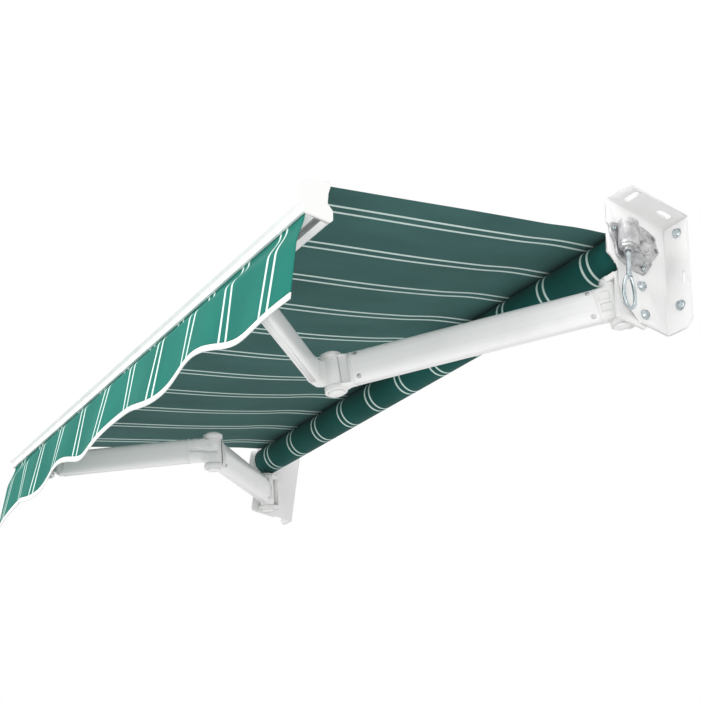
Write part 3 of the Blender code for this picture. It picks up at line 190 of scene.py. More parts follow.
class Recipe:
    """Builds the node tree of a material or of the world."""

    def __init__(self, owner: Union[bpy.types.Material, bpy.types.World]) -> None:
        """Start with an empty tree.

        Args:
            owner: The material or world.
        """
        owner.use_nodes = True
        self.owner = owner
        self.tree = owner.node_tree
        self.tree.nodes.clear()

    @classmethod
    def start(cls, name: str) -> Recipe:
        """Start a new material for the finish of that name."""
        return cls(bpy.data.materials.new(f"{name}_finish"))

    def node(self, kind: str, settings: Mapping[str, object] | None = None,
             inputs: Mapping[Union[str, int], object] | None = None,
             output: Union[str, int] = 0) -> Field | None:
        """Add a node.

        Args:
            kind: The node's type.
            settings: Its properties, set first.
            inputs: Its sockets' values or links, by name or number.
            output: The output that is handed back.

        Returns:
            That output, or None where the node has none.
        """
        made = self.tree.nodes.new(kind)
        for key, value in (settings or {}).items():
            setattr(made, key, value)
        for key, value in (inputs or {}).items():
            if isinstance(value, Field):
                self.tree.links.new(value.socket, made.inputs[key])
            else:
                made.inputs[key].default_value = value
        return Field(self, made.outputs[output]) if made.outputs else None

    def mix(self, share: Operand, first: object, second: object) -> Field:
        """Mix two colours.

        Args:
            share: The share of the second.
            first: A colour or field.
            second: A colour or field.

        Returns:
            The mixed colour.
        """
        def plain(colour: object) -> object:
            """A colour with its alpha, or the field as it is."""
            return colour if isinstance(colour, Field) else (*colour, 1.0)
        inputs = {0: share, 6: plain(first), 7: plain(second)}
        return self.node("ShaderNodeMix", {"data_type": "RGBA"}, inputs, 2)

    def place(self, kind: str = "Object") -> Field:
        """Object coordinates or, as "UV", a sheet's own, in metres across and along."""
        return self.node("ShaderNodeTexCoord", output=kind)

    def split(self, vector: Field) -> list[Field]:
        """The first two numbers of a vector."""
        return [self.node("ShaderNodeSeparateXYZ", inputs={0: vector}, output=axis)
                for axis in (0, 1)]

    def stretched(self, vector: Field, scale: Sequence[float]) -> Field:
        """Coordinates scaled by axis."""
        return self.node("ShaderNodeMapping", inputs={"Vector": vector, "Scale": tuple(scale)})

    def noise(self, vector: Field, scale: float, detail: float = 3.0, rough: float = 0.55) -> Field:
        """Cloudy noise.

        Args:
            vector: Where it is read.
            scale: Its size, in features a metre.
            detail: How many finer layers it has.
            rough: The weight of the finer layers.

        Returns:
            A value near 0.5.
        """
        inputs = {"Vector": vector, "Scale": scale, "Detail": detail, "Roughness": rough}
        return self.node("ShaderNodeTexNoise", inputs=inputs)

    def bump(self, height: Field, distance: float, strength: float = 1.0,
             normal: Field | None = None) -> Field:
        """Turn a height into a normal.

        Args:
            height: The height, from 0 to 1.
            distance: The relief's depth, in metres.
            strength: How much of it shows.
            normal: A normal to start from.

        Returns:
            The bumped normal.
        """
        inputs = {"Height": height, "Distance": distance, "Strength": strength}
        if normal is not None:
            inputs["Normal"] = normal
        return self.node("ShaderNodeBump", inputs=inputs)

    def rounded(self, radius: float) -> Field:
        """A normal that eases edges by that radius."""
        return self.node("ShaderNodeBevel", {"samples": 6}, {"Radius": radius})

    def surface(self, **sockets: object) -> bpy.types.Material:
        """End the tree with a Principled shader.

        Args:
            sockets: Values or fields by socket name, with underscores for spaces.

        Returns:
            The material.
        """
        inputs = {}
        for key, value in sockets.items():
            name = key.replace("_", " ")
            inputs[name] = (*value, 1.0) if isinstance(value, tuple) and len(value) == 3 else value
        shader = self.node("ShaderNodeBsdfPrincipled", inputs=inputs)
        self.node("ShaderNodeOutputMaterial", inputs={"Surface": shader})
        return self.owner


@dataclass(frozen=True)
class CoatedMetal:
    """Powder-coated or painted metal: fine orange peel, soft dirt in random clouds and specks,
    eased edges.
    """

    name: str
    colour: Colour
    dirt: Colour = (0.50, 0.50, 0.47)
    roughness: float = 0.34
    peel: float = 0.05 * MM
    peel_scale: float = 900.0
    edge: float = 0.9 * MM

    def material(self) -> bpy.types.Material:
        """Build the material."""
        recipe = Recipe.start(self.name)
        place = recipe.place()
        clouds = recipe.noise(place, 9.0, 4.0)
        specks = recipe.noise(place, 240.0, 2.0)
        peel = recipe.noise(place, self.peel_scale, 2.0)
        soiled = clouds.step(0.50, 0.80) * 0.16 + specks.step(0.66, 0.80) * 0.10
        return recipe.surface(
            Base_Color=recipe.mix(soiled, self.colour, self.dirt),
            Roughness=clouds * 0.16 + (self.roughness - 0.08),
            Coat_Weight=0.15,
            Coat_Roughness=0.2,
            Normal=recipe.bump(peel, self.peel, 0.8, recipe.rounded(self.edge)),
        )


@dataclass(frozen=True)
class BareMetal:
    """Plated or cast bare metal with a mottled, slightly rough skin."""

    name: str
    colour: Colour
    dark: Colour
    roughness: float
    metallic: float
    grain: float = 0.08 * MM
    grain_scale: float = 420.0
    edge: float = 0.7 * MM

    def material(self) -> bpy.types.Material:
        """Build the material."""
        recipe = Recipe.start(self.name)
        place = recipe.place()
        clouds = recipe.noise(place, 60.0, 4.0)
        grain = recipe.noise(place, self.grain_scale, 3.0, 0.65)
        mottled = clouds.step(0.38, 0.66) * 0.6 + grain.step(0.45, 0.70) * 0.4
        return recipe.surface(
            Base_Color=recipe.mix(mottled, self.colour, self.dark),
            Roughness=clouds * 0.3 + (self.roughness - 0.15),
            Metallic=self.metallic,
            Normal=recipe.bump(grain, self.grain, 0.8, recipe.rounded(self.edge)),
        )


@dataclass(frozen=True)
class StripedCloth:
    """Woven acrylic with pairs of thin pale lines along its length."""

    name: str
    colour: Colour
    deep: Colour
    line: Colour
    pitch: float = 124 * MM
    spread: float = 9.4 * MM
    half_line: float = 2.7 * MM
    thread: float = 1.1 * MM
    sheen: float = 0.04

    def lines(self, recipe: Recipe, across: Field) -> Field:
        """The mask of the pale lines.

        Args:
            recipe: The material's builder.
            across: The place across the cloth, in metres.

        Returns:
            1 on a line and 0 off it.
        """
        turn = (across / self.pitch + 100.5).maths("FRACT") - 0.5
        off = abs(abs(turn) * self.pitch - self.spread)
        return 1.0 - off.step(self.half_line - 0.4 * MM, self.half_line + 0.4 * MM)

    def material(self) -> bpy.types.Material:
        """Build the material."""
        recipe = Recipe.start(self.name)
        place = recipe.place("UV")
        across, along = recipe.split(place)
        clouds = recipe.noise(recipe.stretched(place, (3.0, 1.2, 1.0)), 2.2, 4.0)
        slubs = recipe.noise(recipe.stretched(place, (60.0, 900.0, 1.0)), 1.0, 2.0)
        ground = recipe.mix(clouds.step(0.35, 0.65) * 0.7 + slubs * 0.3, self.colour, self.deep)
        turn = 2 * math.pi / self.thread
        warp = (across * turn).maths("SINE")
        weft = (along * turn).maths("SINE")
        weave = warp * weft * 0.5 + 0.5
        dusty = recipe.mix(slubs * 0.35, self.line, self.colour)
        return recipe.surface(
            Base_Color=recipe.mix(self.lines(recipe, across), ground, dusty),
            Roughness=0.88,
            Specular_IOR_Level=0.22,
            Sheen_Weight=self.sheen,
            Sheen_Roughness=0.5,
            Normal=recipe.bump(weave * 0.7 + slubs * 0.3, 0.25 * MM, 0.5),
        )


@dataclass(frozen=True)
class PlainCloth:
    """A woven tape."""

    name: str
    colour: Colour
    dirt: Colour
    thread: float = 1.4 * MM

    def material(self) -> bpy.types.Material:
        """Build the material."""
        recipe = Recipe.start(self.name)
        place = recipe.place("UV")
        across, along = recipe.split(place)
        turn = 2 * math.pi / self.thread
        rib = ((across + along) * turn).maths("SINE") * 0.5 + 0.5
        clouds = recipe.noise(place, 30.0, 3.0)
        return recipe.surface(
            Base_Color=recipe.mix(clouds.step(0.4, 0.7) * 0.5, self.colour, self.dirt),
            Roughness=0.8,
            Normal=recipe.bump(rib, 0.3 * MM, 0.6),
        )


class Finish(Enum):
    """The awning's finishes, by the record's material slots."""

    COAT = CoatedMetal("white_powder_coat", (0.82, 0.82, 0.815))
    EXTRUSION = CoatedMetal("white_coated_aluminium", (0.82, 0.82, 0.815), roughness=0.32,
                            edge=0.8 * MM)
    CASTING = CoatedMetal("white_cast_metal", (0.81, 0.81, 0.80), roughness=0.42, peel=0.16 * MM,
                          peel_scale=420.0, edge=1.6 * MM)
    PLASTIC = CoatedMetal("white_plastic", (0.82, 0.82, 0.81), roughness=0.3, peel=0.03 * MM,
                          edge=1.4 * MM)
    ZINC = BareMetal("zinc_plated_steel", (0.62, 0.68, 0.70), (0.28, 0.34, 0.36), 0.27, 0.92,
                     grain=0.03 * MM, edge=0.3 * MM)
    DIE_CAST = BareMetal("die_cast_alloy", (0.60, 0.60, 0.605), (0.27, 0.27, 0.28), 0.40, 0.70,
                         grain=0.2 * MM, grain_scale=300.0, edge=0.8 * MM)
    SPRING = BareMetal("spring_steel", (0.16, 0.16, 0.16), (0.09, 0.09, 0.09), 0.4, 0.9)
    NYLON = CoatedMetal("nylon", (0.72, 0.72, 0.66), roughness=0.5)
    # The canopy, roll and valance are one striped cloth, given as lit and shaded copies. Canopy:
    # base, deep and line colours darkened and greyed, painted shade on its underside.
    CANOPY = StripedCloth("canopy_cloth", (0.040, 0.122, 0.112), (0.027, 0.088, 0.082),
                          (0.66, 0.80, 0.75))
    # Roll: base, deep and line colours darker still, painted shade on the wound cloth.
    ROLL = StripedCloth("roll_cloth", (0.006, 0.084, 0.072), (0.003, 0.058, 0.050),
                        (0.68, 0.82, 0.77), spread=8.9 * MM)
    # Valance: base, deep and line colours brighter, painted light on its lit front face.
    VALANCE = StripedCloth("valance_cloth", (0.006, 0.174, 0.134), (0.003, 0.130, 0.100),
                           (0.78, 0.90, 0.85), spread=10 * MM)
    TAPE = PlainCloth("hem_tape", (0.80, 0.82, 0.80), (0.62, 0.66, 0.64))

    def made(self) -> bpy.types.Material:
        """The material, built once."""
        return bpy.data.materials.get(f"{self.value.name}_finish") or self.value.material()


SLOTS: Mapping[str, Finish] = {finish.value.name: finish for finish in Finish}


class Bench:
    """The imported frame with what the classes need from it."""

    merge = 0.01 * MM

    def __init__(self) -> None:
        """Load the frame and note each node's body and slot."""
        self.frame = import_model()
        low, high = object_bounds()
        self.cad_box = [list(low), list(high)]
        record = self.frame["record"]
        behaviour = record["behaviour"]
        self.bodies = {node: body for body, nodes in behaviour["bodies"].items() for node in nodes}
        self.joints = {joint["name"]: joint for joint in behaviour["joints"]}
        self.slots = {part["node"]: part["material_slot"] for part in record["subparts"]}
        self.done: set[str] = set()

    def pivot(self, joint: str) -> Vector:
        """The place of a packed joint."""
        return Vector(self.joints[joint]["pos_m"])

    @staticmethod
    def clear_selection() -> None:
        """Leave edit mode and deselect everything."""
        if bpy.context.object is not None and bpy.context.object.mode != "OBJECT":
            bpy.ops.object.mode_set(mode="OBJECT")
        bpy.ops.object.select_all(action="DESELECT")

    @classmethod
    def take(cls, piece: bpy.types.Object) -> bpy.types.Object:
        """Select one piece alone and make it active."""
        cls.clear_selection()
        piece.select_set(True)
        bpy.context.view_layer.objects.active = piece
        return piece

    @classmethod
    @contextmanager
    def editing(cls, piece: bpy.types.Object) -> Iterator[None]:
        """Edit one piece with all of it selected."""
        cls.take(piece)
        bpy.ops.object.mode_set(mode="EDIT")
        bpy.ops.mesh.select_all(action="SELECT")
        yield
        bpy.ops.object.mode_set(mode="OBJECT")

    @staticmethod
    def named(name: str, data: bpy.types.ID) -> bpy.types.Object:
        """A new object of that name for a mesh, a lamp or a camera."""
        piece = bpy.data.objects.new(name, data)
        bpy.context.scene.collection.objects.link(piece)
        return piece

    @classmethod
    def settle(cls, piece: bpy.types.Object) -> bpy.types.Object:
        """Apply the piece's modifiers and its place.

        Args:
            piece: The piece.

        Returns:
            The same piece, with its object at the origin.
        """
        cls.take(piece)
        for modifier in list(piece.modifiers):
            bpy.ops.object.modifier_apply(modifier=modifier.name)
        bpy.ops.object.transform_apply(location=True, rotation=True, scale=True)
        return piece

    def dress(self, piece: bpy.types.Object, finish: Finish, body: str,
              stands_for: Sequence[str] = ()) -> bpy.types.Object:
        """Give a piece its finish, its body and the nodes that it stands for.

        Args:
            piece: The finished mesh.
            finish: Its finish.
            body: The body that it rides on.
            stands_for: The nodes that it replaces.

        Returns:
            The same piece.
        """
        piece.data.materials.clear()
        piece.data.materials.append(finish.made())
        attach(piece, body)
        if stands_for:
            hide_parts(*stands_for)
            self.done.update(stands_for)
        LOG.info("%s: %d faces on %s", piece.name, len(piece.data.polygons), body)
        return piece

    def smoothed(self, node: str, angle: float = SHARP) -> bpy.types.Object:
        """A merged copy of a node, shaded smooth over its round faces.

        Args:
            node: The node's name.
            angle: The angle in degrees above which an edge stays sharp.

        Returns:
            The copy.
        """
        piece = self.named(f"{node}_shell", self.frame["nodes"][node].data.copy())
        with self.editing(piece):
            bpy.ops.mesh.remove_doubles(threshold=self.merge)
        bpy.ops.object.shade_smooth_by_angle(angle=math.radians(angle))
        return piece

    def carried(self, node: str, angle: float = SHARP) -> bpy.types.Object:
        """A dressed, smoothed copy that stands for a node.

        Args:
            node: The node's name.
            angle: The angle in degrees above which an edge stays sharp.

        Returns:
            The copy.
        """
        finish = SLOTS[self.slots[node]]
        return self.dress(self.smoothed(node, angle), finish, self.bodies[node], [node])


def drawing_plane(u_axis: Vector, v_axis: Vector, origin: Vector) -> Matrix:
    """A matrix whose first two columns are a drawing plane's axes.

    Args:
        u_axis: The plane's first axis.
        v_axis: Its second axis.
        origin: Its origin.

    Returns:
        The matrix.
    """
    u, v = u_axis.normalized(), v_axis.normalized()
    matrix = Matrix.Identity(4)
    for column, axis in enumerate((u, v, u.cross(v), origin)):
        for row in range(3):
            matrix[row][column] = axis[row]
    return matrix


def oval(width: float, height: float, offset: float = 0.0, power: float = 3.0,
         count: int = 40) -> np.ndarray:
    """Points of an oval that grows squarer as its power rises.

    Args:
        width: Its size along u.
        height: Its size along v.
        offset: How far it is moved along u.
        power: 2 for an ellipse and more for a squarer shape.
        count: The number of points.

    Returns:
        The points (u, v).
    """
    angle = 2 * np.pi * (np.arange(count) + 0.5) / count
    cosine, sine = np.cos(angle), np.sin(angle)
    across = np.sign(cosine) * np.abs(cosine) ** (2 / power) * width / 2 + offset
    upright = np.sign(sine) * np.abs(sine) ** (2 / power) * height / 2
    return np.stack([across, upright], axis=1)


def rounded_outline(corners: Sequence[Point], steps: int = 5) -> np.ndarray:
    """An outline with rounded corners.

    Args:
        corners: Each corner's place (u, v) and radius.
        steps: The number of points on each arc, less one.

    Returns:
        The points (u, v).
    """
    points = []
    for index, (u, v, radius) in enumerate(corners):
        corner = np.array([u, v])
        before = np.array(corners[index - 1][:2]) - corner
        after = np.array(corners[(index + 1) % len(corners)][:2]) - corner
        first, second = before / np.linalg.norm(before), after / np.linalg.norm(after)
        half = math.acos(float(np.clip(first @ second, -1, 1))) / 2
        cut = radius / math.tan(half)
        inward = (first + second) / np.linalg.norm(first + second)
        middle = corner + inward * radius / math.sin(half)
        start, end = corner + first * cut - middle, corner + second * cut - middle
        turn = math.pi - 2 * half
        for step in range(steps + 1):
            share = step / steps
            weights = math.sin((1 - share) * turn), math.sin(share * turn)
            points.append(middle + (start * weights[0] + end * weights[1]) / math.sin(turn))
    return np.array(points)


class Forge:
    """Makes solid pieces from primitives, extrusions and Booleans."""

    @staticmethod
    def _placed(matrix: Matrix) -> bpy.types.Object:
        """Put the new primitive in its place and settle it."""
        bpy.context.object.matrix_world = matrix
        return Bench.settle(bpy.context.object)

    @staticmethod
    def cylinder(radius: float, low: float, high: float, matrix: Matrix,
                 sides: int = 48, top_radius: float | None = None) -> bpy.types.Object:
        """A cylinder or cone frustum along a plane's normal.

        Args:
            radius: Its radius at the low end.
            low: Where it starts.
            high: Where it ends.
            matrix: The drawing plane.
            sides: The number of its sides.
            top_radius: Its radius at the high end, where it differs.

        Returns:
            The solid.
        """
        Bench.clear_selection()
        top = radius if top_radius is None else top_radius
        bpy.ops.mesh.primitive_cone_add(vertices=sides, radius1=radius, radius2=top,
                                        depth=high - low)
        return Forge._placed(matrix @ Matrix.Translation((0, 0, (low + high) / 2)))

    @staticmethod
    def block(low: Sequence[float], high: Sequence[float], matrix: Matrix) -> bpy.types.Object:
        """A box between two corners of a drawing plane's space.

        Args:
            low: Its lowest corner.
            high: Its highest corner.
            matrix: The drawing plane.

        Returns:
            The solid.
        """
        Bench.clear_selection()
        bpy.ops.mesh.primitive_cube_add(size=1)
        size = [b - a for a, b in zip(low, high)]
        middle = [(a + b) / 2 for a, b in zip(low, high)]
        return Forge._placed(matrix @ Matrix.Translation(middle) @ Matrix.Diagonal((*size, 1)))

    @staticmethod
    def loft(rings: Sequence[tuple[Matrix, np.ndarray]], name: str = "part") -> bpy.types.Object:
        """Extrude a filled outline through a row of further outlines.

        Args:
            rings: Each ring's drawing plane and points, all with as many points.
            name: Its name, where it isn't used up by a join or a cut.

        Returns:
            The closed solid.
        """
        placed = [np.array([list(matrix @ Vector((u, v, 0))) for u, v in points])
                  for matrix, points in rings]
        Bench.clear_selection()
        bpy.ops.mesh.primitive_circle_add(vertices=len(placed[0]), radius=1.0, fill_type="NGON")
        piece = bpy.context.object
        piece.name = piece.data.name = name
        piece.data.vertices.foreach_set("co", placed[0].ravel())
        piece.data.update()
        with Bench.editing(piece):
            for last, ring in zip(placed, placed[1:]):
                bpy.ops.mesh.extrude_region_move()
                shape = bmesh.from_edit_mesh(piece.data)
                for vertex in [v for v in shape.verts if v.select]:
                    nearest = np.linalg.norm(last - np.array(vertex.co), axis=1).argmin()
                    vertex.co = ring[nearest]
                bmesh.update_edit_mesh(piece.data)
            bpy.ops.mesh.select_all(action="SELECT")
            bpy.ops.mesh.normals_make_consistent(inside=False)
        return piece

    @classmethod
    def prism(cls, points: np.ndarray, low: float, high: float, matrix: Matrix,
              name: str = "part") -> bpy.types.Object:
        """An outline extruded straight along its plane's normal.

        Args:
            points: The outline.
            low: Where it starts.
            high: Where it ends.
            matrix: The drawing plane.
            name: Its name, where it isn't used up by a join or a cut.

        Returns:
            The solid.
        """
        ends = [(matrix @ Matrix.Translation((0, 0, level)), points) for level in (low, high)]
        return cls.loft(ends, name)

    @staticmethod
    def _combined(piece: bpy.types.Object, others: Sequence[bpy.types.Object],
                  operation: str) -> bpy.types.Object:
        """Apply a Boolean with each of the other solids, which it uses up."""
        for other in others:
            Bench.take(piece)
            modifier = piece.modifiers.new("solid", "BOOLEAN")
            modifier.operation = operation
            modifier.solver = "EXACT"
            modifier.object = other
            bpy.ops.object.modifier_apply(modifier=modifier.name)
            bpy.data.objects.remove(other, do_unlink=True)
        return piece

    @classmethod
    def join(cls, piece: bpy.types.Object, *others: bpy.types.Object) -> bpy.types.Object:
        """Unite a solid with others."""
        return cls._combined(piece, others, "UNION")

    @classmethod
    def cut(cls, piece: bpy.types.Object, *others: bpy.types.Object) -> bpy.types.Object:
        """Cut others out of a solid."""
        return cls._combined(piece, others, "DIFFERENCE")

    @staticmethod
    def eased(piece: bpy.types.Object, width: float,
              smooth: float = SHARP_CAST) -> bpy.types.Object:
        """Bevel a solid's edges and shade it.

        Args:
            piece: The solid.
            width: The bevel's width, or 0 for none.
            smooth: The angle in degrees above which an edge stays sharp.

        Returns:
            The same solid.
        """
        Bench.take(piece)
        if width:
            modifier = piece.modifiers.new("eased", "BEVEL")
            modifier.width = width
            modifier.segments = 2
            modifier.limit_method = "ANGLE"
            modifier.angle_limit = math.radians(40)
            modifier.use_clamp_overlap = True
            bpy.ops.object.modifier_apply(modifier=modifier.name)
        bpy.ops.object.shade_smooth_by_angle(angle=math.radians(smooth))
        return piece

    @staticmethod
    def mirrored(piece: bpy.types.Object, name: str) -> bpy.types.Object:
        """A copy of a solid on the awning's other side.

        Args:
            piece: The solid.
            name: The copy's name.

        Returns:
            The copy, with its faces outwards.
        """
        twin = Bench.named(name, piece.data.copy())
        twin.data.name = name
        twin.data.transform(Matrix.Scale(-1, 4, (1, 0, 0)))
        with Bench.editing(twin):
            bpy.ops.mesh.normals_make_consistent(inside=False)
        return Forge.eased(twin, 0.0)

    @classmethod
    def pair(cls, bench: Bench, right: bpy.types.Object, name: str) -> None:
        """Dress a right-hand casting and its mirrored twin.

        Args:
            bench: The loaded frame.
            right: The right-hand casting.
            name: The start of the names of the nodes that they stand for.
        """
        left = cls.mirrored(right, f"{name}_left_cast")
        right.name = right.data.name = f"{name}_right_cast"
        for piece, node in ((right, f"{name}_right"), (left, f"{name}_left")):
            bench.dress(piece, Finish.CASTING, bench.bodies[node], [node])


@dataclass
class Cloth:
    """A sheet of cloth made from a grid."""

    name: str
    width: float
    length: float
    columns: int
    rows: int
    thickness: float = 0.8 * MM

    def grid(self, place: Place) -> bpy.types.Object:
        """Make the sheet.

        Args:
            place: Gives the points for places across, in metres, and shares along, from 0 to 1.

        Returns:
            The sheet, with its own coordinates in metres and its thickness applied.
        """
        Bench.clear_selection()
        bpy.ops.mesh.primitive_grid_add(x_subdivisions=self.columns, y_subdivisions=self.rows,
                                        size=1)
        piece = bpy.context.object
        piece.name = self.name
        mesh = piece.data
        mesh.name = self.name
        flat = np.zeros(len(mesh.vertices) * 3)
        mesh.vertices.foreach_get("co", flat)
        flat = flat.reshape(-1, 3)
        across, along = flat[:, 0] * self.width, flat[:, 1] + 0.5
        points = place(across, along)
        mesh.vertices.foreach_set("co", points.ravel())
        layer = mesh.uv_layers[0] if mesh.uv_layers else mesh.uv_layers.new(name="cloth")
        corner = np.zeros(len(mesh.loops), dtype=np.int32)
        mesh.loops.foreach_get("vertex_index", corner)
        uv = np.stack([across[corner], along[corner] * self.length], axis=1)
        layer.data.foreach_set("uv", uv.ravel())
        mesh.update()
        solid = piece.modifiers.new("thickness", "SOLIDIFY")
        solid.thickness = self.thickness
        solid.offset = 0
        Bench.settle(piece)
        bpy.ops.object.shade_smooth()
        return piece


@dataclass
class Awning:
    """Sizes shared by the awning's pieces, in metres in the row frame."""

    cloth_width: float = 1364 * MM
    wall_to_roller: float = 111 * MM
    roller_radius: float = 35 * MM
    roll_radius: float = 37.5 * MM
    bar_forward: float = 660 * MM
    bar_drop: float = 200 * MM
    canopy_groove: tuple[float, float] = (13.5 * MM, 31.5 * MM)
    valance_groove: tuple[float, float] = (-13 * MM, -29 * MM)
    rod_radius: float = 2.9 * MM
    rod_gap: float = 0.3 * MM
    pitch: float = math.radians(14.6)

    @property
    def axis(self) -> Vector:
        """A point on the roller's axis."""
        return Vector((0, -self.wall_to_roller, 0))

    @property
    def bar_origin(self) -> Vector:
        """The front bar's own origin."""
        return self.axis + Vector((0, -self.bar_forward, -self.bar_drop))

    @property
    def travel(self) -> Vector:
        """The direction in which the bar runs out."""
        return Vector((0, -math.cos(self.pitch), -math.sin(self.pitch)))


@dataclass
class Canopy:
    """The main cloth, stretched from the roll to the bar."""

    awning: Awning
    length: float = 664 * MM
    sag: float = 6 * MM
    lift: float = 2.6 * MM
    lift_end: float = 0.3
    ripple: float = 0.9 * MM
    ripple_pitch: float = 124 * MM
    bow_power: float = 2.5
    gap: float = 0.7 * MM
    run: float = 571.3 * MM
    columns: int = 260
    rows: int = 120

    def ends(self) -> tuple[Vector, Vector, Vector]:
        """Where the cloth leaves the roll, where it enters the bar, and its downward normal."""
        awning = self.awning
        groove = awning.bar_origin + Vector((0, *awning.canopy_groove)) - awning.axis
        distance = math.hypot(groove.y, groove.z)
        radius = awning.roll_radius + self.gap
        slope = math.atan2(-groove.z, -groove.y) + math.asin(radius / distance)
        leaves = awning.axis + radius * Vector((0, -math.sin(slope), math.cos(slope)))
        along = Vector((0, math.cos(slope), math.sin(slope)))
        enters = awning.axis + groove + (awning.rod_radius + awning.rod_gap) * along
        return leaves, enters, Vector((0, math.sin(slope), -math.cos(slope)))

    def build(self, bench: Bench) -> None:
        """Model and dress the canopy.

        Args:
            bench: The loaded frame.
        """
        leaves, enters, down = self.ends()
        start, end, low = np.array(leaves), np.array(enters), np.array(down)

        def place(across: np.ndarray, share: np.ndarray) -> np.ndarray:
            """The sagging cloth's points."""
            edge = np.abs(across) / (self.awning.cloth_width / 2)
            bow = np.sin(np.pi * share) ** self.bow_power
            lift = self.lift * np.sin(np.pi * np.clip(share / self.lift_end, 0, 1)) ** 2
            sag = self.sag * bow * np.cos(np.pi / 2 * edge) - lift
            ripple = self.ripple * bow * np.sin(across * 2 * np.pi / self.ripple_pitch + 3 * share)
            points = start + (end - start) * share[:, None] + low * (sag + ripple)[:, None]
            points[:, 0] += across
            return points

        sheet = Cloth("canopy_cloth", self.awning.cloth_width, self.length, self.columns, self.rows)
        piece = bench.dress(sheet.grid(place), Finish.CANOPY, "frame", ["canopy"])
        reach = (enters - leaves).dot(self.awning.travel)
        (reach - self.run) / reach
        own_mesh(piece)


@dataclass
class Roll:
    """The turns of cloth that stay on the roller when the awning is run out."""

    awning: Awning
    turns: int = 4
    thickness: float = 0.46 * MM
    start: float = 0.3
    columns: int = 48
    steps: int = 72

    def build(self, bench: Bench) -> None:
        """Model and dress the roll.

        Args:
            bench: The loaded frame.
        """
        axis = self.awning.axis
        ply = (self.awning.roll_radius - self.awning.roller_radius) / (self.turns + 0.5)
        outer = self.awning.roll_radius - ply / 2
        length = 2 * math.pi * (outer - self.turns * ply / 2) * self.turns

        def place(across: np.ndarray, share: np.ndarray) -> np.ndarray:
            """The wound cloth's points, from the outer turn inwards."""
            turned = 2 * np.pi * self.turns * share + self.start
            radius = outer - ply * self.turns * share
            out, up = radius * np.sin(turned), radius * np.cos(turned)
            return np.stack([across, axis.y - out, axis.z + up], axis=1)

        width = self.awning.cloth_width
        sheet = Cloth("roll_cloth", width, length, self.columns, self.turns * self.steps,
                      self.thickness)
        piece = bench.dress(sheet.grid(place), Finish.ROLL, "roller", ["cloth_roll"])


@dataclass
class Valance:
    """The front cloth that hangs from the bar, with its wavy hem and white tape."""

    awning: Awning
    drop: float = 158 * MM
    wave: float = 14 * MM
    wave_period: float = 310 * MM
    wave_shift: float = 100 * MM
    billow: float = 30 * MM
    billow_start: float = 8 * MM
    billow_full: float = 60 * MM
    edge_loss: float = 0.75
    hem_loss: tuple[float, float] = (0.12, 0.7)
    flute: float = 4 * MM
    flute_period: float = 207 * MM
    tape_height: float = 11 * MM
    tape_gap: float = 0.3 * MM
    tape_thickness: float = 2.2 * MM
    columns: int = 420
    rows: int = 44

    def fall(self, across: np.ndarray) -> np.ndarray:
        """The cloth's length below the groove.

        Args:
            across: Places across, in metres.

        Returns:
            The length at each place.
        """
        turned = 2 * np.pi * (across - self.wave_shift) / self.wave_period
        return self.drop - self.wave * np.cos(turned)

    def point(self, across: np.ndarray, below: np.ndarray) -> np.ndarray:
        """Points of the hanging cloth.

        Args:
            across: Places across, in metres.
            below: Lengths below the groove, in metres.

        Returns:
            The points.
        """
        awning = self.awning
        edge = np.abs(across) / (awning.cloth_width / 2)
        rise = np.clip((below - self.billow_start) / (self.billow_full - self.billow_start), 0, 1)
        fall = np.clip((below - self.billow_full) / (self.drop - self.billow_full), 0, 1)
        slack = self.hem_loss[0] + self.hem_loss[1] * edge ** 6
        fullness = self.billow * (1 - self.edge_loss * edge ** 4) * (1 - slack * fall)
        out = fullness * rise * rise * (3 - 2 * rise)
        flutes = self.flute * fall * (1 + np.cos(2 * np.pi * across / self.flute_period))
        origin = awning.bar_origin + Vector((0, *awning.valance_groove))
        height = origin.z - awning.rod_radius - awning.rod_gap - below
        return np.stack([across, origin.y - out - flutes, height], axis=1)

    def cut_length(self) -> float:
        """The cloth's own length from groove to hem, averaged over its width."""
        lengths = []
        for across in np.linspace(-self.awning.cloth_width / 2, self.awning.cloth_width / 2, 41):
            place = np.full(200, across)
            points = self.point(place, self.fall(place) * np.linspace(0, 1, 200))
            lengths.append(np.linalg.norm(np.diff(points, axis=0), axis=1).sum())
        return float(np.mean(lengths))

    def build(self, bench: Bench) -> None:
        """Model and dress the valance and its tape.

        Args:
            bench: The loaded frame.
        """
        width = self.awning.cloth_width

        def cloth(across: np.ndarray, share: np.ndarray) -> np.ndarray:
            """The valance's points."""
            return self.point(across, self.fall(across) * share)

        def tape(across: np.ndarray, share: np.ndarray) -> np.ndarray:
            """The tape's points, below the hem."""
            return self.point(across, self.fall(across) + self.tape_gap + self.tape_height * share)

        cut = self.cut_length()
        sheet = Cloth("valance_cloth", width, cut, self.columns, self.rows)
        hung = bench.dress(sheet.grid(cloth), Finish.VALANCE, "bar", ["valance"])
        band = Cloth("hem_tape", width, self.tape_height, self.columns, 3, self.tape_thickness)
        taped = bench.dress(band.grid(tape), Finish.TAPE, "bar", ["valance_binding"])


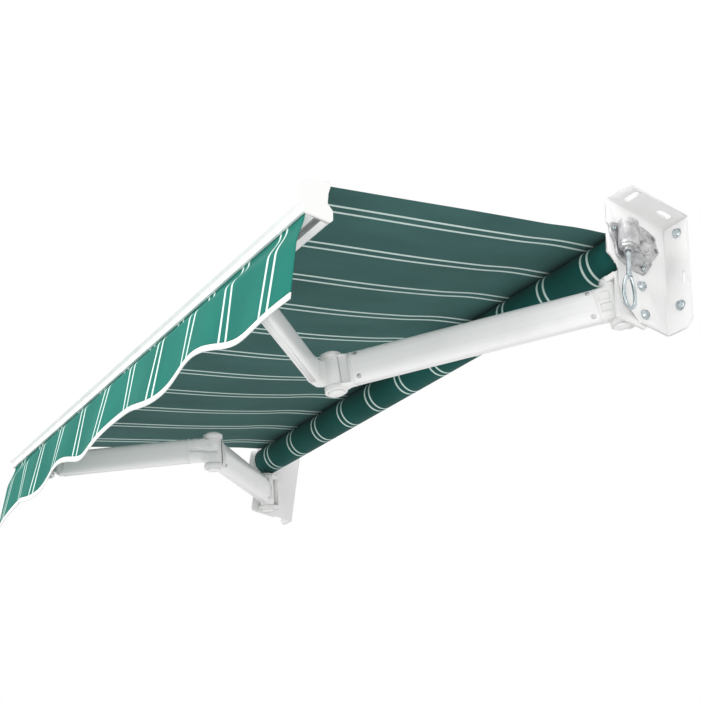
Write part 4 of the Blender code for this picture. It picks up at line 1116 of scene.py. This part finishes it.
@dataclass(frozen=True)
class Arm:
    """The right-hand arm's pivots, as its packed joints give them."""

    shoulder: Vector
    elbow: Vector
    tip: Vector
    pin: Vector
    sides: int = 56
    flange: float = 2.5 * MM
    proud: float = 0.8 * MM

    @classmethod
    def read(cls, bench: Bench) -> Arm:
        """Read the pivots from the loaded frame."""
        places = [bench.pivot(f"{joint}_right") for joint in ("shoulder", "elbow", "bar_pivot")]
        return cls(*places, Vector(bench.joints["elbow_right"]["axis"]).normalized())

    @property
    def rear(self) -> Vector:
        """The rear arm's direction, away from the wall."""
        return (self.elbow - self.shoulder).normalized()

    @property
    def front(self) -> Vector:
        """The direction from the elbow to the tip."""
        return (self.tip - self.elbow).normalized()

    def section(self, origin: Vector, along: Vector) -> Matrix:
        """The drawing plane across an arm: u to its left, v up its pin."""
        return drawing_plane(self.pin.cross(along), self.pin, origin)

    def plan(self, origin: Vector, along: Vector) -> Matrix:
        """The drawing plane seen along the pin: u along an arm, v to its left."""
        return drawing_plane(along, self.pin.cross(along), origin)

    def rim(self, width: float, height: float, origin: Vector, along: Vector) -> bpy.types.Object:
        """The proud seam where a casting meets a tube.

        Args:
            width: The tube's width.
            height: The tube's height.
            origin: The seam's place.
            along: The tube's direction.

        Returns:
            The seam.
        """
        outline = oval(width + 2 * self.proud, height + 2 * self.proud)
        half = self.flange / 2
        return Forge.prism(outline, -half, half, self.section(origin, along))


@dataclass
class Elbow:
    """The castings that meet at an elbow: the rear arm's yoke and the front arm's knuckle."""

    arm: Arm
    rear_width: float = 36 * MM
    rear_height: float = 68 * MM
    front_width: float = 27 * MM
    front_height: float = 56 * MM
    rear_seam: float = 40 * MM
    front_seam: float = 50 * MM
    front_offset: float = 27 * MM
    tip_offset: float = 8 * MM
    tip_seam: float = 42 * MM
    hub_radius: float = 19 * MM
    hub_height: float = 58 * MM
    lug: float = 10 * MM
    lug_gap: float = 0.5 * MM
    lug_radius: float = 22 * MM
    running_gap: float = 1.6 * MM
    relief: float = 12.8 * MM
    overlap: float = 0.2 * MM
    groove: float = 9 * MM
    groove_end: float = 3.75 * MM
    shoulder_seam: float = 34 * MM
    rivet_inset: float = 12 * MM
    rivet_place: tuple[float, float] = (15.6 * MM, 24 * MM)
    rivet_lean: float = math.radians(19.4)
    rivet: Sequence[tuple[float, float]] = tuple(mm(
        (-1, 4.4), (0.5, 4.4), (1.3, 3.6), (1.9, 2.1), (2.1, 0.6)))
    crank: tuple[tuple[float, float, float, float], ...] = (
        (1 * MM, 4 * MM, 26 * MM, 6.0), (10 * MM, 8 * MM, 24 * MM, 6.0),
        (16 * MM, 18 * MM, 20 * MM, 5.0), (21 * MM, 24 * MM, 24 * MM, 4.0),
        (34 * MM, 26 * MM, 26.5 * MM, 3.4))

    def yoke(self) -> bpy.types.Object:
        """The rear arm's end, which flares from the tube to two round lugs.

        Returns:
            The right-hand yoke.
        """
        arm = self.arm
        back = arm.plan(arm.elbow, -arm.rear)
        half = self.hub_height / 2 + self.lug_gap
        top = half + self.lug
        wide, tall = 2 * self.lug_radius - 3 * MM, 2 * top - 1.5 * MM
        flare = ((1.0, self.rear_width, self.rear_height, 3.0),
                 (0.75, self.rear_width + 0.5 * MM, self.rear_height + 1 * MM, 3.2),
                 (0.45, self.rear_width + 3 * MM, tall - 4 * MM, 4.5), (0.0, wide, tall, 7.0))
        body = Forge.loft([
            (arm.section(arm.elbow - share * self.rear_seam * arm.rear, arm.rear),
             oval(width, height, 0.0, power)) for share, width, height, power in flare])
        for low, high in ((half - self.overlap, top), (-top, -half + self.overlap)):
            Forge.join(body, Forge.cylinder(self.lug_radius, low, high, back, arm.sides))
        Forge.join(body, arm.rim(self.rear_width, self.rear_height,
                                 arm.elbow - self.rear_seam * arm.rear, arm.rear))
        reach = 2 * self.rear_width
        swing = self.front_height / 2 + self.running_gap
        Forge.cut(body,
                  Forge.cylinder(self.hub_radius + self.running_gap, -half, half, back, arm.sides),
                  Forge.block((-reach, -reach, -half), (-1 * MM, reach, half), back),
                  Forge.block((-reach, -reach, -swing),
                              (self.rear_seam - 2 * arm.flange, -self.relief, swing), back))
        return Forge.eased(body, 0.8 * MM)

    def knuckle(self) -> bpy.types.Object:
        """The front arm's end: a barrel between the lugs and a cranked neck with a cable groove.

        Returns:
            The right-hand knuckle.
        """
        arm = self.arm
        seen = arm.plan(arm.elbow, arm.front)
        half = self.hub_height / 2
        tall = self.front_height - 1 * MM
        side = arm.pin.cross(arm.front)
        run = (arm.tip - arm.elbow).length - self.front_seam - self.tip_seam
        turn = math.atan2(self.front_offset - self.tip_offset, run)
        tube = math.cos(turn) * arm.front + math.sin(turn) * side
        start = arm.elbow + self.front_seam * arm.front - self.front_offset * side
        rings = [(arm.section(arm.elbow + along * arm.front, arm.front),
                  oval(wide, tall, -offset, power)) for along, offset, wide, power in self.crank]
        rings.append((arm.section(start, tube), oval(self.front_width - 0.5 * MM, tall)))
        body = Forge.loft(rings)
        Forge.join(body, Forge.cylinder(self.hub_radius, -half, half, seen, arm.sides),
                   arm.rim(self.front_width, self.front_height, start, tube))
        far = self.front_offset + self.front_width
        end = self.front_seam - self.groove_end
        floor = np.array([(-self.hub_radius, -far), (-self.hub_radius, -13 * MM),
                          *mm((6, -15), (24, -30)), (end, -33.5 * MM), (end, -far)])
        Forge.cut(body, Forge.prism(floor, -self.groove / 2, self.groove / 2, seen))
        return Forge.eased(body, 0.6 * MM)

    def rivets(self) -> bpy.types.Object:
        """The domed rivets that hold the castings in both ends of the rear tube.

        Returns:
            The right-hand arm's rivets, as one piece.
        """
        arm = self.arm
        side = arm.pin.cross(arm.rear)
        run = (arm.elbow - arm.shoulder).length
        rows = (self.shoulder_seam + self.rivet_inset, run - self.rear_seam - self.rivet_inset)
        domes = []
        for along, left, up in product(rows, (-1, 1), (-1, 1)):
            out = math.cos(self.rivet_lean) * left * side + math.sin(self.rivet_lean) * up * arm.pin
            foot = (arm.shoulder + along * arm.rear + self.rivet_place[0] * left * side
                    + self.rivet_place[1] * up * arm.pin)
            rings = [(drawing_plane(arm.rear, out.cross(arm.rear), foot + height * out),
                      oval(2 * radius, 2 * radius, 0.0, 2.0, 24)) for height, radius in self.rivet]
            domes.append(Forge.loft(rings, "rear_rivets_right"))
        return Forge.eased(Forge.join(*domes), 0.0)

    def build(self, bench: Bench) -> None:
        """Model and dress both elbows' castings and the rear tubes' rivets.

        Args:
            bench: The loaded frame.
        """
        for casting, name in ((self.yoke(), "elbow_yoke"), (self.knuckle(), "elbow_knuckle")):
            Forge.pair(bench, casting, name)
        right = self.rivets()
        for piece, body in ((right, "rear_arm_right"),
                            (Forge.mirrored(right, "rear_rivets_left"), "rear_arm_left")):
            bench.dress(piece, Finish.DIE_CAST, body)


@dataclass
class Shoulder:
    """The castings at the rear arms' shoulder ends."""

    arm: Arm
    width: float = 36 * MM
    height: float = 68 * MM
    seam: float = 34 * MM
    hub_radius: float = 19 * MM
    hub_height: float = 72 * MM
    pocket_start: float = 0.42
    pocket_depth: float = 4 * MM
    pocket_height: float = 18 * MM
    pocket_places: tuple[float, float] = (-12 * MM, 12 * MM)
    edge: float = 1.2 * MM

    def build(self, bench: Bench) -> None:
        """Model and dress both shoulders' castings: a barrel with its neck and pockets.

        Args:
            bench: The loaded frame.
        """
        arm = self.arm
        seen = arm.plan(arm.shoulder, arm.rear)
        half = self.hub_height / 2
        neck = ((0.0, 2 * self.hub_radius - 3 * MM, 7.0),
                (0.5 * self.seam, self.width + 1 * MM, 4.2), (self.seam, self.width, 3.0))
        body = Forge.loft([(arm.section(arm.shoulder + along * arm.rear, arm.rear),
                            oval(wide, self.height, 0.0, power)) for along, wide, power in neck])
        Forge.join(body, Forge.cylinder(self.hub_radius, -half, half, seen, arm.sides),
                   arm.rim(self.width, self.height, arm.shoulder + self.seam * arm.rear, arm.rear))
        start, end = self.pocket_start * self.hub_radius, self.seam - 2 * arm.flange
        for level, side in product(self.pocket_places, (-1, 1)):
            low, high = sorted((side * (self.width / 2 - self.pocket_depth), side * self.width))
            Forge.cut(body, Forge.block((start, low, level - self.pocket_height / 2),
                                        (end, high, level + self.pocket_height / 2), seen))
        Forge.pair(bench, Forge.eased(body, self.edge), "shoulder_knuckle")


@dataclass
class Bracket:
    """The folded wall brackets, with one slot across and one slot along their top flange."""

    plate: float = 5 * MM
    top: float = 105 * MM
    old_middle: float = 723 * MM
    old_places: tuple[float, float] = (-120 * MM, -32 * MM)
    old_size: tuple[float, float] = (12 * MM, 38 * MM)
    across: tuple[float, float, float, float] = (728 * MM, -126 * MM, 34 * MM, 13 * MM)
    along: tuple[float, float, float, float] = (728 * MM, -40 * MM, 14 * MM, 34 * MM)

    @staticmethod
    def slot(width: float, length: float) -> np.ndarray:
        """A slot's outline, with round ends on its longer side."""
        radius = min(width, length) / 2 * 0.98
        u, v = width / 2, length / 2
        corners = [(-u, -v, radius), (u, -v, radius), (u, v, radius), (-u, v, radius)]
        return rounded_outline(corners, 10)

    def build(self, bench: Bench) -> None:
        """Model and dress both brackets.

        Args:
            bench: The loaded frame.
        """
        level = Matrix.Translation((0, 0, self.top - self.plate))
        for node, side in (("bracket_right", 1), ("bracket_left", -1)):
            body = bench.smoothed(node)
            half_width, half_length = self.old_size[0] / 2, self.old_size[1] / 2
            low, high = sorted((side * (self.old_middle - half_width),
                                side * (self.old_middle + half_width)))
            for place in self.old_places:
                Forge.join(body, Forge.block((low, place - half_length, 0),
                                             (high, place + half_length, self.plate), level))
            for x, y, width, length in (self.across, self.along):
                outline = self.slot(width, length) + np.array([side * x, y])
                Forge.cut(body, Forge.prism(outline, -self.plate, 2 * self.plate, level))
            body.name = body.data.name = f"{node}_plate"
            bench.dress(Forge.eased(body, 0.0, SHARP), Finish.COAT, "frame", [node])


@dataclass
class Gearbox:
    """The die-cast gearbox on the right-hand bracket, and the crank's eye below it."""

    axis: Vector
    worm: Vector
    base: float = 695.3 * MM
    depth: float = 30 * MM
    radius: float = 40 * MM
    middle: tuple[float, float] = (19 * MM, 11 * MM)
    flange: float = 6 * MM
    worm_radius: float = 15 * MM
    worm_top: float = 43 * MM
    worm_bottom: float = -18 * MM
    nozzle_radius: float = 9 * MM
    stem_radius: float = 4.5 * MM
    eye_middle: float = -112 * MM
    eye_height: float = 76 * MM
    eye_width: float = 38 * MM
    eye_wire: float = 3.6 * MM
    eye_turn: float = math.radians(-84)
    lobes: Sequence[Point] = tuple(mm(
        (-47, 42, 8), (-45, 22, 8), (-32, 2, 18), (-28, -24, 14), (4, -38, 14), (44, -39, 10),
        (62, -8, 16), (62, 28, 14), (52, 49, 10), (18, 52, 16), (-20, 50, 14)))
    pad: Sequence[Point] = tuple(mm(
        (-37, -4, 4), (-26, -22, 5), (14, -18, 5), (16, -6, 4), (-14, 8, 5)))
    bosses: Sequence[tuple[float, float]] = tuple(mm((39, 28), (46, 3)))

    def face(self, u: float = 0.0, v: float = 0.0) -> Matrix:
        """The drawing plane across X round the roller's axis: u towards the wall, v up."""
        origin = self.axis + Vector((0, u, v))
        return drawing_plane(Vector((0, 1, 0)), Vector((0, 0, 1)), origin)

    def upright(self) -> Matrix:
        """The drawing plane across the worm."""
        return Matrix.Translation(self.worm)

    def housing(self) -> bpy.types.Object:
        """The cast body: lobed flange, tapered drum, worm tower, pad and bored bosses.

        Returns:
            The housing.
        """
        base, front = self.base, self.base + self.depth
        drum, worm = self.face(*self.middle), self.upright()
        body = Forge.prism(rounded_outline(self.lobes), base, base + self.flange, self.face(),
                           "gearbox_cast")
        shoulder, crown = self.radius - 3 * MM, self.radius - 8 * MM
        reach = self.worm_radius + 1 * MM
        left, right, rear = -reach - 2 * MM, reach, reach + 8 * MM
        tower = rounded_outline([(left, -reach, 15 * MM), (right, -reach, 15 * MM),
                                 (right, rear, 17 * MM), (left, rear, 6 * MM)], 9)
        foot, bottom = self.nozzle_radius + 6 * MM, self.worm_bottom
        Forge.join(
            body,
            Forge.cylinder(self.radius, base + 1 * MM, front - 4 * MM, drum, 64, shoulder),
            Forge.cylinder(shoulder, front - 4.2 * MM, front, drum, 64, crown),
            Forge.prism(tower, bottom + 6 * MM, self.worm_top, worm),
            Forge.cylinder(foot, bottom, bottom + 8 * MM, worm, 6),
            Forge.cylinder(self.nozzle_radius, bottom - 6 * MM, bottom + 1 * MM, worm, 40),
            Forge.prism(rounded_outline(self.pad), front - 4 * MM, front + 3 * MM, self.face()))
        for boss in self.bosses:
            seat = self.face(*boss)
            Forge.join(body, Forge.cylinder(10 * MM, base + 2 * MM, front + 1.5 * MM, seat, 32,
                                            8.5 * MM))
            Forge.cut(body, Forge.cylinder(5.5 * MM, front - 5 * MM, front + 3 * MM, seat, 28))
        Forge.cut(body, Forge.cylinder(self.stem_radius + 1 * MM, bottom - 10 * MM,
                                       bottom + 14 * MM, worm, 32))
        return Forge.eased(body, 0.9 * MM, 36.0)

    def eye(self) -> bpy.types.Object:
        """The worm's stem and the long eye that takes the crank's hook.

        Returns:
            The eye with its stem.
        """
        turn = Matrix.Rotation(self.eye_turn, 4, "Z")
        middle = self.upright() @ Matrix.Translation((0, 0, self.eye_middle)) @ turn
        section = [Vector((math.cos(a), math.sin(a), 0)) * self.eye_wire
                   for a in (2 * math.pi * i / 16 for i in range(16))]
        around = 56
        stations = []
        for index in range(around):
            angle = 2 * math.pi * index / around
            reach = self.eye_height / 2 - self.eye_wire
            spread = (self.eye_width / 2 - self.eye_wire) * (1 - 0.22 * math.sin(angle))
            stations.append(Vector((spread * math.cos(angle), 0, reach * math.sin(angle))))
        points = []
        for index, station in enumerate(stations):
            ahead = stations[(index + 1) % around] - stations[index - 1]
            outward = ahead.normalized().cross(Vector((0, 1, 0)))
            points += [middle @ (station + outward * part.x + Vector((0, part.y, 0)))
                       for part in section]
        count = len(section)
        faces = []
        for ring, spoke in product(range(around), range(count)):
            here, ahead, turn = ring * count, (ring + 1) % around * count, (spoke + 1) % count
            faces.append((here + spoke, here + turn, ahead + turn, ahead + spoke))
        mesh = bpy.data.meshes.new("crank_eye_forged")
        mesh.from_pydata([tuple(point) for point in points], [], faces)
        piece = Bench.named("crank_eye_forged", mesh)
        with Bench.editing(piece):
            bpy.ops.mesh.normals_make_consistent(inside=False)
        top = self.eye_middle + self.eye_height / 2
        Forge.join(piece,
                   Forge.cylinder(self.stem_radius, top - 1.5 * self.eye_wire,
                                  self.worm_bottom + 12 * MM, self.upright(), 32),
                   Forge.cylinder(self.stem_radius + 2.6 * MM, top - 2 * self.eye_wire,
                                  top + 4 * MM, self.upright(), 32, self.stem_radius))
        return Forge.eased(piece, 0.0)

    def build(self, bench: Bench) -> None:
        """Model and dress the gearbox and its eye.

        Args:
            bench: The loaded frame.
        """
        bench.dress(self.housing(), Finish.DIE_CAST, "frame", ["gearbox_housing"])
        bench.dress(self.eye(), Finish.ZINC, "crank", ["crank_eye"])


@dataclass
class Studio:
    """Floor, lights and camera."""

    floor_level: float = -1.75
    lens: float = 57.4
    eye: Point = (1.928, -1.4065, -1.245)
    azimuth: float = math.radians(59.66)
    elevation: float = math.radians(-29.30)
    roll: float = math.radians(6.36)
    sky: float = 0.86
    target: Point = (0, -0.4, -0.15)
    lamps: tuple[tuple[str, Point, float, float], ...] = (
        ("front_key", (0.3, -3.4, 0.3), 2.4, 60),
        ("side_fill", (3.2, -1.2, -0.9), 2.4, 26),
        ("top_fill", (0.4, -1.0, 3.2), 3.0, 40))

    def floor(self) -> None:
        """A wide pale floor."""
        Bench.clear_selection()
        bpy.ops.mesh.primitive_plane_add(size=30, location=(0, 0, self.floor_level))
        plane = bpy.context.object
        plane.name = "studio_floor"
        Bench.settle(plane)
        recipe = Recipe.start("studio_floor")
        plane.data.materials.append(recipe.surface(Base_Color=(0.84, 0.84, 0.84), Roughness=0.95))
        plane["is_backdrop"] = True

    def world(self) -> None:
        """A white backdrop for the eye and an even light for the object."""
        world = bpy.data.worlds.new("studio")
        bpy.context.scene.world = world
        recipe = Recipe(world)
        camera, glossy, through = (recipe.node("ShaderNodeLightPath", output=f"Is {ray} Ray")
                                   for ray in ("Camera", "Glossy", "Transmission"))
        seen = camera.maths("MAXIMUM", glossy.maths("MAXIMUM", through))
        sky, white = (recipe.node("ShaderNodeBackground",
                                  inputs={"Color": (1, 1, 1, 1), "Strength": strength})
                      for strength in (self.sky, 1.0))
        mixed = recipe.node("ShaderNodeMixShader", inputs={0: seen, 1: sky, 2: white})
        recipe.node("ShaderNodeOutputWorld", inputs={"Surface": mixed})

    def lamp(self, name: str, place: Point, size: float, power: float) -> None:
        """Add a square soft lamp that points at the awning.

        Args:
            name: Its name.
            place: Where it stands.
            size: Its side.
            power: Its power in watts.
        """
        data = bpy.data.lights.new(name, "AREA")
        data.size = size
        data.energy = power
        lamp = Bench.named(name, data)
        lamp.location = place
        away = Vector(place) - Vector(self.target)
        lamp.rotation_euler = away.to_track_quat("Z", "Y").to_euler()

    def camera(self) -> None:
        """The camera at the photograph's angle."""
        az, el, roll = self.azimuth, self.elevation, self.roll
        look = Vector((-math.sin(az) * math.cos(el), math.cos(az) * math.cos(el), -math.sin(el)))
        right = look.cross(Vector((0, 0, 1))).normalized()
        up = right.cross(look)
        tilted_right = math.cos(roll) * right + math.sin(roll) * up
        tilted_up = -math.sin(roll) * right + math.cos(roll) * up
        data = bpy.data.cameras.new("photo_camera")
        data.sensor_width = 36.0
        data.lens = self.lens
        camera = Bench.named("photo_camera", data)
        camera.matrix_world = drawing_plane(tilted_right, tilted_up, Vector(self.eye))
        bpy.context.scene.camera = camera

    def build(self) -> None:
        """Set up the studio."""
        self.floor()
        self.world()
        self.camera()
        for lamp in self.lamps:
            self.lamp(*lamp)
        bpy.context.scene.view_settings.view_transform = "Standard"


def main() -> None:
    """Build the dressed awning in order."""
    logging.basicConfig(level=logging.INFO, format="%(message)s")
    bench = Bench()
    awning = Awning()
    arm = Arm.read(bench)
    for assembly in (Canopy(awning), Roll(awning), Valance(awning), Elbow(arm),
                     Gearbox(awning.axis, bench.pivot("crank_turn")), Shoulder(arm), Bracket()):
        assembly.build(bench)
    for node in sorted(set(bench.frame["nodes"]) - bench.done):
        bench.carried(node, SHARP_BOLT if "bolt" in node else SHARP)
    Studio().build()


if __name__ == "__main__":
    main()
